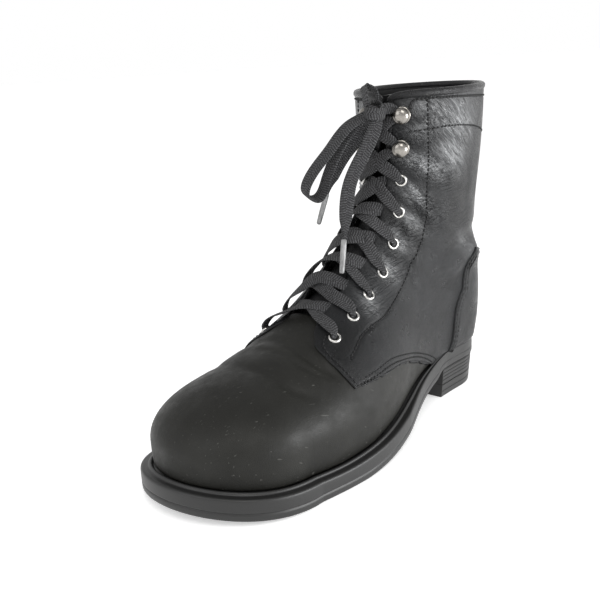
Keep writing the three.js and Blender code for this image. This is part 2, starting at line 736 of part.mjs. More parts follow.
// A flat strip of lace between two fasteners, following the upper at a height above it.
const laceRise = quarterStep + clearance + flangeThickness + 1.2;
function laceStrip(from, to, sideFrom, start = 0, end = 1) {
  const half = laceWidth / 2;
  const rings = steps(start, end, Math.ceil((end - start) * 5)).map((s) => {
    const u = mix(from, to, s);
    const centreShare = 1 - 2 * s;
    const side = sideFrom * (centreShare >= 0 ? 1 : -1);
    const across = mix(eyeletHalf(from), eyeletHalf(to), s) * Math.abs(centreShare);
    const t = Math.max(acrossToShare(u, side, across), 1e-4);
    const spot = seat(u, t, side, laceRise);
    const level = Math.min(1, Math.abs(centreShare) * 5);
    spot.normal.setY(spot.normal.y * level).normalize();
    return spot;
  });
  return rings.map((spot, index) => {
    const before = rings[Math.max(0, index - 1)].point;
    const after = rings[Math.min(rings.length - 1, index + 1)].point;
    const along = after.clone().sub(before).normalize();
    const wide = spot.normal.clone().cross(along).normalize();
    const thick = along.clone().cross(wide).normalize();
    if (thick.dot(spot.normal) < 0) thick.negate();
    return [[-half, 0], [half, 0], [half, laceThickness], [-half, laceThickness]].map(([a, b]) => {
      const p = spot.point.clone().addScaledVector(wide, a).addScaledVector(thick, b);
      return p.toArray();
    });
  });
}

// The share of a crossing that stays clear of a hook's neck.
function hookShare(from, to) {
  const start = upperPoint(from, acrossToShare(from, 1, eyeletHalf(from)), 1, 0);
  const end = upperPoint(to, acrossToShare(to, -1, eyeletHalf(to)), -1, 0);
  const across = Math.hypot(end[0] - start[0], end[1] - start[1], end[2] - start[2]);
  return (hookNeck + clearance + 0.7) / across;
}

// The lace between the eyelets and on around the hooks up to the knot, as one joined solid.
function makeLacing() {
  const levels = fastenerStations;
  const strips = [];
  for (const [, side] of sides) {
    for (let i = 0; i + 1 < levels.length; i++) {
      const start = i >= eyeletCount ? hookShare(levels[i], levels[i + 1]) : 0;
      const end = i + 1 >= eyeletCount ? hookShare(levels[i], levels[i + 1]) : 0;
      strips.push(loft(laceStrip(levels[i], levels[i + 1], side, start, 1 - end)));
    }
    const last = levels[levels.length - 1];
    strips.push(loft(laceStrip(last, knotStation, side, hookShare(last, knotStation), 0.5)));
  }
  return largest(Manifold.union(strips));
}

const knotStation = lastRow - 0.5;
const knotSize = [14, 15, 11];
function knotCentre() {
  const spot = seat((knotStation + fastenerStations.at(-1)) / 2, 1e-4, 1, laceRise + laceThickness);
  spot.normal.set(1, 0, 0);
  return spot.point.addScaledVector(spot.normal, knotSize[0] / 2 + clearance);
}
function makeKnot(grow = 0) {
  const ball = new THREE.SphereGeometry(1, 10, 6);
  const [x, y, z] = knotSize.map((size) => size / 2 + grow);
  const { x: cx, y: cy, z: cz } = knotCentre();
  return solidOf(ball.scale(x, y, z).translate(cx, cy, cz));
}

// Free stretches of the lace, as points chosen by hand, and the way that the flat lace is wide.
const laceRoutes = {
  lace_loop_short: {
    wide: [0.5, 0.8, 0.2],
    points: [[119, 18, 207], [121, 17, 216], [118, 15, 221], [114, 18, 219], [115, 22, 207]],
  },
  lace_loop_long: {
    wide: [-0.1, -0.8, 0.4],
    points: [
      [120, 17, 204], [131, 11, 198], [141, 3, 184], [149, -7, 168], [148, -11, 157],
      [141, -9, 154], [138, -3, 165], [135, 4, 182], [123, 15, 201]],
  },
  lace_end_long: {
    wide: [-0.6, 0.8, 0],
    points: [
      [119, 24, 202], [123, 23, 192], [128, 18, 179], [134, 13, 164], [138, 12, 147], [144, 14, 129]],
  },
  lace_end_short: {
    wide: [-0.6, 0.8, 0],
    points: [[115, 15, 199], [116, 5, 188], [119, -4, 177], [122, -11, 165], [124, -15, 153]],
  },
};
function laceSection(turn) {
  const half = laceWidth / 2;
  const thick = laceThickness / 2;
  const corners = [
    [half, -thick * 0.4], [half, thick * 0.4], [half * 0.8, thick], [-half * 0.8, thick],
    [-half, thick * 0.4], [-half, -thick * 0.4], [-half * 0.8, -thick], [half * 0.8, -thick]];
  const turned = corners.map(([a, b]) => new THREE.Vector2(a, b).rotateAround(new THREE.Vector2(), turn));
  return new THREE.Shape(turned);
}
function makeCord({ points, wide }) {
  const path = new THREE.CatmullRomCurve3(points.map((p) => new THREE.Vector3(...p)));
  const count = Math.ceil(path.getLength() / (laceWidth * 0.75));
  const frames = path.computeFrenetFrames(count, false);
  const across = new THREE.Vector3(...wide);
  const turn = Math.atan2(across.dot(frames.binormals[0]), across.dot(frames.normals[0]));
  return solidOf(new THREE.ExtrudeGeometry(
    laceSection(turn), { steps: count, bevelEnabled: false, extrudePath: path }));
}
function makeAglet({ points }) {
  const end = new THREE.Vector3(...points.at(-1));
  const along = end.clone().sub(new THREE.Vector3(...points.at(-2))).normalize();
  const stick = new THREE.CylinderGeometry(agletRadius, agletRadius, agletLength, 8).rotateX(Math.PI / 2);
  const spot = { point: end, normal: along };
  return placed(solidOf(stick), spot, agletLength / 2 + clearance);
}

const leather = new THREE.MeshStandardMaterial({ color: 0x26272a, roughness: 0.5, metalness: 0 });
const lining = new THREE.MeshStandardMaterial({ color: 0x2b2926, roughness: 0.85, metalness: 0 });
const rubber = new THREE.MeshStandardMaterial({ color: 0x1d1d1e, roughness: 0.75, metalness: 0 });
const nickel = new THREE.MeshStandardMaterial({ color: 0xb9b5ac, roughness: 0.25, metalness: 1 });
const cloth = new THREE.MeshStandardMaterial({ color: 0x2c2c2e, roughness: 0.9, metalness: 0 });
const tip = new THREE.MeshStandardMaterial({ color: 0xaaa9a6, roughness: 0.3, metalness: 0 });

const boot = new THREE.Group();
function addPiece(name, solid, material) {
  const mesh = new THREE.Mesh(geometryOf(solid), material.clone());
  mesh.name = name;
  boot.add(mesh);
  return mesh;
}

addPiece('outsole', makeOutsole(), rubber);
addPiece('welt', makeWelt(), rubber);
addPiece('heel_block', makeHeelBlock(), rubber);
addPiece('heel_top_lift', makeTopLift(), rubber);
addPiece('insole', makeInsole(), lining);
addPiece('upper', makeUpper(), leather);
addPiece('tongue', makeTongue(), leather);
addPiece('heel_counter', makeCounter(), leather);
addPiece('collar_binding', makeBinding(), leather);
for (const [name, side] of sides) {
  fastenerSeats(side, quarterStep).forEach((spot, index) => {
    const number = index < eyeletCount ? index + 1 : index - eyeletCount + 1;
    if (index < eyeletCount) addPiece(`eyelet_${name}_${number}`, placed(makeEyelet(), spot), nickel);
    else addPiece(`hook_${name}_${number}`, placed(makeHook(), spot), nickel);
  });
}
addPiece('lace_crossings', makeLacing(), cloth);
addPiece('lace_knot', makeKnot(), cloth);
for (const [name, route] of Object.entries(laceRoutes)) {
  addPiece(name, makeCord(route).subtract(makeKnot(clearance)), cloth);
}
addPiece('lace_tip_long', makeAglet(laceRoutes.lace_end_long), tip);
addPiece('lace_tip_short', makeAglet(laceRoutes.lace_end_short), tip);

boot.updateMatrixWorld(true);
const solidBox = new THREE.Box3();
const cordNames = /^lace_(knot|loop|end|tip)/;
for (const mesh of boot.children) {
  if (!cordNames.test(mesh.name)) solidBox.expandByObject(mesh);
}
boot.position.set(
  -(solidBox.min.x + solidBox.max.x) / 2,
  -(solidBox.min.y + solidBox.max.y) / 2,
  -solidBox.min.z);

export default boot;
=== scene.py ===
import math
import bpy
import numpy as np
from mathutils import Matrix, Vector


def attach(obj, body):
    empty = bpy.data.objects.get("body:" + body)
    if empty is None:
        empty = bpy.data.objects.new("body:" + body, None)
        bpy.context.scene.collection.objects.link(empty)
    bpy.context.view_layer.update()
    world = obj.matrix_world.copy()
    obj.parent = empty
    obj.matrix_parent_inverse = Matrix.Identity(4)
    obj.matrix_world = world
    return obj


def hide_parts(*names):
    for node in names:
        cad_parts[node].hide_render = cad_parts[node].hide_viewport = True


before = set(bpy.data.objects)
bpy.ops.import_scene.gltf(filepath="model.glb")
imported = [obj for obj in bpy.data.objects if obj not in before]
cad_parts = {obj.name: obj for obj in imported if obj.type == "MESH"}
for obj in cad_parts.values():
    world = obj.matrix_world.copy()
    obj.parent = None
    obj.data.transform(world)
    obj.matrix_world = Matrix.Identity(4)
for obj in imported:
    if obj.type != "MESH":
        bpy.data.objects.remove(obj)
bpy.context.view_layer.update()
print("stage: frame loaded")

# Lengths below are millimetres in the boot's own frame: X from the back of the heel to the toe,
# Y to the outer side, Z up. frameShift moves them into the shared frame.
frameShift = np.array([-138.649, -1.655, 0.0])


def toScene(points):
    return (np.asarray(points, float) + frameShift) / 1000


# the photo's camera

camera = {
    "place": (546.8, 336.3, 238.0),
    "turn": 221.92,  # degrees, where it looks, from above
    "drop": 15.67,
    "roll": -3.49,
    "angle": 38.86,
}


def addCamera():
    turn, drop, roll = (math.radians(camera[k]) for k in ("turn", "drop", "roll"))
    ahead = Vector((math.cos(drop) * math.cos(turn), math.cos(drop) * math.sin(turn), -math.sin(drop)))
    right = ahead.cross(Vector((0, 0, 1))).normalized()
    up = right.cross(ahead)
    rolledRight = math.cos(roll) * right + math.sin(roll) * up
    rolledUp = -math.sin(roll) * right + math.cos(roll) * up
    place = Vector(toScene(camera["place"]))
    bpy.ops.object.camera_add()
    cam = bpy.context.object
    cam.name = "photoCamera"
    cam.matrix_world = Matrix((
        (rolledRight.x, rolledUp.x, -ahead.x, place.x),
        (rolledRight.y, rolledUp.y, -ahead.y, place.y),
        (rolledRight.z, rolledUp.z, -ahead.z, place.z),
        (0, 0, 0, 1)))
    cam.data.angle = math.radians(camera["angle"])
    cam.data.clip_start = 0.01
    bpy.context.scene.camera = cam


addCamera()


# helpers for meshes made from a grid

def deselectAll():
    for obj in bpy.context.selected_objects:
        obj.select_set(False)


def makeActive(obj):
    deselectAll()
    obj.select_set(True)
    bpy.context.view_layer.objects.active = obj


def smoothAngle(obj, angle):
    makeActive(obj)
    bpy.ops.object.shade_smooth_by_angle(angle=math.radians(angle))


def editMesh(obj, weld=0.0, outwards=False, flip=False):
    # joins vertices nearer than weld, in metres, then turns the faces outwards or flips them
    makeActive(obj)
    bpy.ops.object.mode_set(mode="EDIT")
    bpy.ops.mesh.select_all(action="SELECT")
    if weld:
        bpy.ops.mesh.remove_doubles(threshold=weld)
    if outwards:
        bpy.ops.mesh.normals_make_consistent(inside=False)
    if flip:
        bpy.ops.mesh.flip_normals()
    bpy.ops.object.mode_set(mode="OBJECT")


def applyAll(obj):
    makeActive(obj)
    for modifier in list(obj.modifiers):
        bpy.ops.object.modifier_apply(modifier=modifier.name)


def gridPiece(name, points, closed=False, keep=None, uv=None):
    # a plain grid takes the places of points[row][column]; its UV map is uv, or runs 0 to 1 both ways
    rows, columns = points.shape[:2]
    deselectAll()
    bpy.ops.mesh.primitive_grid_add(x_subdivisions=columns - 1, y_subdivisions=rows - 1, size=1)
    obj = bpy.context.object
    obj.name = obj.data.name = name
    obj.data.vertices.foreach_set("co", toScene(points).reshape(-1))
    if uv is not None:
        corner = np.zeros(len(obj.data.loops), int)
        obj.data.loops.foreach_get("vertex_index", corner)
        obj.data.uv_layers.active.data.foreach_set("uv", uv.reshape(-1, 2)[corner].reshape(-1))
    obj.data.update()
    if keep is not None:  # deletes the vertices where keep is false
        bpy.ops.object.mode_set(mode="EDIT")
        bpy.ops.mesh.select_mode(type="VERT")
        bpy.ops.mesh.select_all(action="DESELECT")
        bpy.ops.object.mode_set(mode="OBJECT")
        obj.data.vertices.foreach_set("select", ~keep.reshape(-1))
        bpy.ops.object.mode_set(mode="EDIT")
        bpy.ops.mesh.delete(type="VERT")
        bpy.ops.object.mode_set(mode="OBJECT")
    editMesh(obj, weld=2e-6, outwards=closed)
    bpy.ops.object.shade_smooth()
    return obj


def faceOutwards(obj, away):
    # turns the faces of an open sheet so that they look away from a point inside the boot
    total = 0.0
    centre = Vector(toScene(away))
    everySo = 37
    for index in range(0, len(obj.data.polygons), everySo):
        polygon = obj.data.polygons[index]
        total += (polygon.center - centre).dot(polygon.normal)
    if total < 0:
        editMesh(obj, flip=True)


def thicken(obj, thickness):
    solid = obj.modifiers.new("leather", "SOLIDIFY")
    solid.thickness = thickness / 1000
    solid.offset = -1
    applyAll(obj)


def sheetPiece(name, points, inside, thickness, keep=None):
    # an open sheet that faces away from a point inside the boot, thickened inwards
    piece = gridPiece(name, points, keep=keep)
    faceOutwards(piece, inside)
    thicken(piece, thickness)
    return piece


def finishPiece(obj, material, slotName, *nodes):
    obj.data.materials.clear()
    obj.data.materials.append(material)
    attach(obj, "root")
    if nodes:
        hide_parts(*nodes)


# the shape of the last: rows from the ridge, or throat, to the sole edge or back seam

last = {
    "length": 280, "ball": 105, "instep": 123, "collarHeight": 212, "collarDepth": 117, "collarWidth": 84,
    "toeBox": 20, "tipOffset": 4.4, "collarTwist": 22, "toePower": 2.48, "step": 1.2,
    "seat": 35.5, "forefoot": 13.5, "toeSpring": 8.5,
    "toeMiddle": 0.62, "toeSlope": 0.5, "capPower": 0.3, "blendRows": 0.6, "heelPower": 2.3, "tuckPower": 2.5,
}
soleLine = {
    "x": [-0.03, 0, 0.11, 0.215, 0.32, 0.43, 0.535, 0.645, 0.73, 0.82, 0.91, 1, 1.03],
    "rise": [1, 1, 0.985, 0.92, 0.72, 0.45, 0.2, 0.03, 0, 0, 0, 0, 0],
    "spring": [0, 0, 0, 0, 0, 0, 0, 0.04, 0, 0.1, 0.36, 0.82, 1.02],
}
footRows = {
    "ridgeX": [0.663, 0.54, 0.423, 0.313, 0.215, 0.129, 0.062, 0.005],
    "ridgeZ": [0.545, 0.593, 0.65, 0.724, 0.813, 0.911, 1.0, 1.102],
    "edgeX": [0.804, 0.732, 0.654, 0.564, 0.457, 0.339, 0.214, 0.1],
    "outer": [0.478, 0.508, 0.527, 0.518, 0.455, 0.364, 0.318, 0.31],
    "inner": [0.49, 0.474, 0.442, 0.402, 0.362, 0.324, 0.305, 0.305],
    "twist": [0, 0, 0, 0.04, 0.08, 0.13, 0.22, 0.35],
    "belly": [0.66, 0.68, 0.7, 0.7, 0.68, 0.66, 0.62, 0.6],
    "round": [2.1, 2.0, 1.9, 1.8, 1.8, 1.8, 1.9, 2.0],
    "back": [0.342, 0.342, 0.342, 0.342, 0.342, 0.325, 0.308, 0.29],
    "tuck": [0.05, 0.05, 0.06, 0.08, 0.1, 0.1, 0.08, 0.06],
}
shaftRows = {
    "ridgeX": [0.957, 0.923, 0.906, 0.906, 0.906, 0.906, 0.915],
    "ridgeZ": [0.269, 0.402, 0.535, 0.669, 0.795, 0.909, 1.017],
    "edgeX": [0, -0.026, 0, 0.009, -0.014, -0.042, -0.064],
    "edgeZ": [0, 0.188, 0.373, 0.547, 0.7, 0.85, 1.0],
    "outer": [0.393, 0.405, 0.417, 0.446, 0.476, 0.497, 0.508],
    "inner": [0.381, 0.393, 0.405, 0.429, 0.458, 0.48, 0.49],
    "twist": [0.47, 0.61, 0.75, 0.84, 0.91, 0.96, 1.0],
    "belly": [0.58, 0.56, 0.54, 0.53, 0.52, 0.52, 0.52],
    "round": [2.0, 2.1, 2.2, 2.2, 2.2, 2.2, 2.2],
    "back": [0.29, 0.308, 0.342, 0.393, 0.427, 0.462, 0.496],
    "tuck": [0.03, 0, 0, 0, 0, 0, 0],
}
throatRows = {
    "station": [2, 3, 4, 5.2, 6.4, 7.6, 9, 10.5, 12.5, 14.5],
    "gap": [0.114, 0.118, 0.12, 0.131, 0.12, 0.095, 0.067, 0.048, 0.038, 0.048],
    "eyelet": [0.268, 0.266, 0.254, 0.224, 0.197, 0.171, 0.146, 0.124, 0.114, 0.114],
}
# the size that each column is a share of, in the foot's rows and in the shaft's
sizeOf = {
    "edgeX": ("length", "collarDepth"), "outer": ("ball", "collarWidth"), "inner": ("ball", "collarWidth"),
    "twist": ("collarTwist", "collarTwist"), "back": ("collarDepth", "collarDepth"),
}


def curveThrough(knots, values):
    # natural cubic through values at rising knots
    k = np.asarray(knots, float)
    v = np.asarray(values, float)
    n = len(k)
    bend = np.zeros(n)
    share = np.zeros(n)
    for i in range(1, n - 1):
        left, right = k[i] - k[i - 1], k[i + 1] - k[i]
        ratio = left / (left + right)
        pivot = ratio * share[i - 1] + 2
        jump = (v[i + 1] - v[i]) / right - (v[i] - v[i - 1]) / left
        share[i] = (ratio - 1) / pivot
        bend[i] = (6 * jump / (left + right) - ratio * bend[i - 1]) / pivot
    for i in range(n - 2, -1, -1):
        bend[i] = share[i] * bend[i + 1] + bend[i]

    def value(x):
        x = np.asarray(x, float)
        i = np.clip(np.searchsorted(k, x) - 1, 0, n - 2)
        step = k[i + 1] - k[i]
        a, b = (k[i + 1] - x) / step, (x - k[i]) / step
        return a * v[i] + b * v[i + 1] + ((a**3 - a) * bend[i] + (b**3 - b) * bend[i + 1]) * step * step / 6
    return value


soleX = np.array(soleLine["x"]) * last["length"]
soleRise = curveThrough(soleX, soleLine["rise"])
soleSpring = curveThrough(soleX, soleLine["spring"])


def soleTop(x):
    return last["forefoot"] + (last["seat"] - last["forefoot"]) * soleRise(x) + last["toeSpring"] * soleSpring(x)


def mix(a, b, share):
    return a + (b - a) * share


lastCurves = {}
rowOf = {}
for name in footRows:
    foot, shaft = np.array(footRows[name]), np.array(shaftRows[name])
    if name == "ridgeX":
        foot, shaft = mix(last["collarDepth"], last["length"], foot), shaft * last["collarDepth"]
    elif name == "ridgeZ":
        foot, shaft = foot * last["instep"], mix(last["instep"], last["collarHeight"], shaft)
    elif name in sizeOf:
        foot, shaft = foot * last[sizeOf[name][0]], shaft * last[sizeOf[name][1]]
    rowOf[name] = np.concatenate([foot, shaft])
    lastCurves[name] = curveThrough(range(15), rowOf[name])
seatRow, topRow = 8, 14
shaftZ = last["seat"] + (last["collarHeight"] - last["seat"]) * np.array(shaftRows["edgeZ"])
lastCurves["edgeZ"] = curveThrough(range(15), np.concatenate([soleTop(rowOf["edgeX"][:8]), shaftZ]))
backSeam = curveThrough(shaftZ, rowOf["edgeX"][8:])
toeX = float(rowOf["ridgeX"][0])
throatHalf = curveThrough(throatRows["station"], np.array(throatRows["gap"]) * last["ball"])
eyeletHalf = curveThrough(throatRows["station"], np.array(throatRows["eyelet"]) * last["ball"])


def seamX(z):
    # X of the back seam at a height
    return backSeam(np.clip(z, last["seat"], last["collarHeight"] + 6))


def lastSection(u, out):
    v = np.clip(u, 0, topRow + 0.5)
    row = {name: curve(v) for name, curve in lastCurves.items()}
    toe = u < 0
    close = np.sin(np.clip(-u, 0, 1) * np.pi / 2)
    tip = last["length"] + out
    x = toeX + (tip - toeX) * close
    slope = (rowOf["ridgeZ"][0] - rowOf["ridgeZ"][1]) / (rowOf["ridgeX"][0] - rowOf["ridgeX"][1])
    ridge = rowOf["ridgeZ"][0] + slope * (x - toeX) * last["toeSlope"]
    middle = soleTop(last["length"]) + last["toeBox"] * last["toeMiddle"]
    cap = np.sqrt(1 - np.minimum(1, close ** (last["toePower"] + last["capPower"])))
    step = 0.02
    before = np.maximum(0, v - step)
    dx = lastCurves["ridgeX"](v + step) - lastCurves["ridgeX"](before)
    dz = lastCurves["ridgeZ"](v + step) - lastCurves["ridgeZ"](before)
    length = np.hypot(dx, dz)
    blend = np.clip(v / last["blendRows"], 0, 1)
    shaft = v >= seatRow
    edgeX = np.where(shaft, seamX(row["edgeZ"]), row["edgeX"])
    edgeZ = np.where(shaft, row["edgeZ"], soleTop(row["edgeX"]))
    section = dict(row)
    section["ridgeX"] = np.where(toe, x, row["ridgeX"] + out * blend * dz / length)
    section["ridgeZ"] = np.where(toe, middle + (ridge + out - middle) * cap,
                                 row["ridgeZ"] + out * (1 - blend - blend * dx / length))
    section["edgeX"] = np.where(toe, x, edgeX - out * np.clip(v - seatRow + 1, 0, 1))
    section["edgeZ"] = np.where(toe, soleTop(x), edgeZ)
    section["shrink"] = np.where(toe, np.sqrt(1 - np.minimum(1, close ** last["toePower"])), 1.0)
    height = np.maximum(section["ridgeZ"] - section["edgeZ"], 1e-6)
    toeBelly = row["belly"] + ((section["ridgeZ"] - middle) / height - row["belly"]) * close
    section["belly"] = np.maximum(np.where(toe, toeBelly, row["belly"]), 1e-4)
    section["centre"] = np.where(toe, -last["tipOffset"] * close**2, 0.0)
    return section


def onLast(u, t, side, out=0.0):
    # t runs from the ridge at 0 to the sole edge or back seam at 1
    u, t, side, out = np.broadcast_arrays(*(np.asarray(value, float) for value in (u, t, side, out)))
    row = lastSection(u, out)
    x = row["ridgeX"] + (row["edgeX"] - row["ridgeX"]) * t
    z = row["ridgeZ"] + (row["edgeZ"] - row["ridgeZ"]) * t
    width = (np.where(side > 0, row["outer"], row["inner"]) + out) * row["shrink"]
    above = np.clip((row["belly"] - t) / row["belly"], 0, 1)
    below = np.clip((t - row["belly"]) / (1 - row["belly"]), 0, 1)
    reach = row["back"] + out
    seam = seamX(z) - out
    behind = np.clip((reach - (x - seam)) / reach, 0, 1)
    top = np.sqrt(1 - above ** row["round"])
    heel = np.sqrt(np.maximum(0, 1 - behind ** last["heelPower"]))
    tuck = 1 - row["tuck"] * (1 - np.sqrt(1 - below ** last["tuckPower"]))
    y = row["centre"] + row["twist"] * np.maximum(1 - t, 0) ** 1.5 + side * width * top * heel * tuck
    return np.stack([x, y, z], -1)


def acrossShare(u, side, distance):
    row = lastSection(np.asarray(u, float), 0.0)
    width = np.where(np.asarray(side) > 0, row["outer"], row["inner"])
    return row["belly"] * (1 - (1 - np.clip(distance / width, 0, 0.98) ** 2) ** (1 / row["round"]))


def lastNormal(u, t, side):
    h = 1e-3
    u, t = np.asarray(u, float), np.asarray(t, float)
    along = onLast(u + h, t, side) - onLast(u - h, t, side)
    across = onLast(u, np.minimum(t + h, 1), side) - onLast(u, np.maximum(t - h, 0), side)
    normal = np.cross(across, along)
    normal /= np.maximum(np.linalg.norm(normal, axis=-1, keepdims=True), 1e-9)
    outwards = onLast(u, t, side) - onLast(u, t, side, -1.0)
    return normal * np.where((outwards * normal).sum(-1) < 0, -1.0, 1.0)[..., None]


# a panel of leather: four edges drawn on the last, filled with a grid

def runAlong(points, least=0.0):
    # length along a line of points up to each of them
    return np.concatenate([[0], np.cumsum(np.linalg.norm(np.diff(points, axis=0), axis=1) + least)])


def lineOnLast(points, side, smooth=True):
    # a line through stations and shares (u, t), run by its true length from 0 to 1
    points = np.asarray(points, float)
    spots = onLast(points[:, 0], points[:, 1], side)
    runs = runAlong(spots, 1e-6)
    fine = np.linspace(0, runs[-1], 600)
    if smooth and len(points) > 2:
        u, t = curveThrough(runs, points[:, 0])(fine), curveThrough(runs, points[:, 1])(fine)
    else:
        u, t = np.interp(fine, runs, points[:, 0]), np.interp(fine, runs, points[:, 1])
    t = np.clip(t, 0, 1)
    spots = onLast(u, t, side)
    length = runAlong(spots, 1e-6)

    def at(share):
        run = np.asarray(share, float) * length[-1]
        return np.stack([np.interp(run, length, u), np.interp(run, length, t)], -1)
    at.length = float(length[-1])
    return at


def edgeShares(length, step, atStart=True, atEnd=True):
    # shares along a length, close together where an edge is rounded
    near = np.array([0, 0.12, 0.3, 0.55, 0.85, 1.2, 1.7]) / length
    start = near if atStart else np.array([0.0])
    end = 1 - near[::-1] if atEnd else np.array([1.0])
    count = max(2, int((end[0] - start[-1]) * length / step))
    return np.concatenate([start[:-1], np.linspace(start[-1], end[0], count), end[1:]])


def patchOnLast(bottom, top, front, back, rows, columns):
    # each edge is a function of a share; rows go from bottom to top, columns from front to back
    a, b = np.meshgrid(rows, columns, indexing="ij")
    a, b = a[..., None], b[..., None]
    corners = (front(0.0), back(0.0), front(1.0), back(1.0))
    flat = ((1 - a) * (1 - b) * corners[0] + (1 - a) * b * corners[1]
            + a * (1 - b) * corners[2] + a * b * corners[3])
    ut = ((1 - b) * front(rows)[:, None] + b * back(rows)[:, None]
          + (1 - a) * bottom(columns)[None] + a * top(columns)[None] - flat)
    return ut[..., 0], np.clip(ut[..., 1], 0, 1)


def distanceTo(points, line):
    return alongLine(points, line)[0]


def alongLine(points, line):
    # distance to a line of points, and how far along it the nearest one lies, from 0 to 1
    flat = points.reshape(-1, 3)
    best, where = np.zeros(len(flat)), np.zeros(len(flat))
    batch = 4000
    for start in range(0, len(flat), batch):
        part = flat[start:start + batch]
        gap = np.linalg.norm(part[:, None] - line[None], axis=2)
        nearest = gap.argmin(axis=1)
        best[start:start + batch] = gap[np.arange(len(part)), nearest]
        where[start:start + batch] = nearest / (len(line) - 1)
    return best.reshape(points.shape[:-1]), where.reshape(points.shape[:-1])


def linePoints(points, side, count=160):
    return onLast(*lineOnLast(points, side)(np.linspace(0, 1, count)).T, side)


# main creases: points (u, t), height and width in millimetres; a minus is a trough

creases = {
    1: [
        ([(9.75, 0.98), (9.37, 0.756), (8.59, 0.552), (7.84, 0.468), (6.81, 0.45)], 2.2, 6.5),
        ([(10.6, 0.98), (10.1, 0.8), (9.3, 0.58), (8.5, 0.45), (7.6, 0.38)], -1.5, 6),
        ([(7.9, 0.62), (7.2, 0.56), (6.3, 0.55), (5.2, 0.56)], -0.9, 6),
        ([(10.0, 0.03), (9.6, 0.1), (9.2, 0.2), (8.9, 0.33)], -0.8, 2.4),
        ([(9.75, 0.03), (9.3, 0.1), (8.9, 0.2), (8.6, 0.3)], 0.7, 2.6),
        ([(9.4, 0.05), (8.95, 0.12), (8.55, 0.2)], -0.7, 2.2),
        ([(7.6, 0.1), (7.1, 0.17), (6.6, 0.3), (6.2, 0.4)], -0.9, 3),
        ([(7.9, 0.12), (7.4, 0.2), (6.9, 0.32)], 0.7, 3),
        ([(1.62, 0.0), (1.48, 0.042), (1.49, 0.133), (1.75, 0.3)], -1.2, 3.4),
        ([(0.2, 0.0), (0.19, 0.02), (0.2, 0.082), (0.39, 0.187), (0.8, 0.3)], -1.1, 3.4),
        ([(1.1, 0.0), (1.08, 0.05), (1.2, 0.15), (1.5, 0.25)], -0.5, 2.2),
        ([(2.1, 0.03), (1.95, 0.05), (1.7, 0.14), (1.62, 0.26)], -0.5, 2.0),
        ([(0.75, 0.0), (0.75, 0.05), (0.85, 0.15), (1.2, 0.28)], 0.6, 6),
    ],
    -1: [
        ([(9.75, 0.98), (9.3, 0.74), (8.5, 0.56), (7.6, 0.47), (6.6, 0.47)], 2.0, 6.5),
        ([(10.6, 0.98), (10.0, 0.78), (9.2, 0.58), (8.3, 0.46)], -1.4, 6),
        ([(9.8, 0.05), (9.4, 0.13), (9.0, 0.25)], -0.8, 2.6),
        ([(7.5, 0.12), (7.0, 0.2), (6.4, 0.34)], -0.9, 3),
        ([(1.62, 0.0), (1.5, 0.05), (1.6, 0.15), (1.9, 0.3)], -0.9, 4),
        ([(0.2, 0.0), (0.25, 0.06), (0.5, 0.18), (1.0, 0.34)], -0.8, 4.5),
    ],
}


def creaseHeight(spots, side):
    # soft troughs and ridges that fade out at both ends
    height = np.zeros(spots.shape[:-1])
    for line, rise, width in creases[side]:
        gap, where = alongLine(spots, linePoints(line, side))
        fade = np.clip(np.minimum(where, 1 - where) / 0.22, 0, 1)
        if line[0][1] in (0.0, 0.98):  # runs on over the ridge or the back
            fade = np.clip((1 - where) / 0.3, 0, 1)
        height += rise * np.exp(-(gap / width) ** 2) * np.sin(fade * np.pi / 2)
    return height


def roundedEdge(gap, thickness, radius=1.1):
    return thickness * np.sqrt(1 - (1 - np.clip(gap / radius, 0, 1)) ** 2)


# panel outlines as stations and shares (u, t)

panels = {
    "front": [(1.99, 0.41), (1.875, 0.293), (1.81, 0.167), (1.85, 0.087), (1.94, 0.062), (2.31, 0.034)],
    "foot": [(1.99, 0.41), (2.17, 0.415), (3.0, 0.481), (4.02, 0.601), (4.59, 0.722), (5.05, 0.843), (5.45, 0.985)],
    "counter": [(6.16, 1.0), (6.45, 0.925), (6.9, 0.787), (7.45, 0.671), (8.4, 0.607), (8.95, 0.64), (9.4, 0.72)],
    "counterTop": [(9.4, 0.72), (9.62, 0.85), (9.75, 1.0)],
}
thickness = {"quarter": 1.2, "counter": 1.4, "facing": 2.2}
quarter = {"top": 14.1, "lift": 0.3, "step": 1.25, "creaseFade": 6}


def throatEdge(u, side):
    return acrossShare(u, side, throatHalf(u))


def quarterEdges(side):
    climb = np.concatenate([np.linspace(2.75, 4, 6), np.linspace(4.4, quarter["top"], 26)])
    front = panels["front"] + [(u, float(throatEdge(u, side))) for u in climb]
    foot = panels["foot"] + [(u, 1.0) for u in (5.75, 6.6, 7.3, 8.0)]
    back = [(u, 1.0) for u in np.linspace(8, quarter["top"], 40)]
    top = [(quarter["top"], t) for t in np.linspace(front[-1][1], 1, 40)]
    lines = {"front": front, "bottom": foot, "back": back, "top": top}
    return {name: lineOnLast(line, side, smooth=False) for name, line in lines.items()}
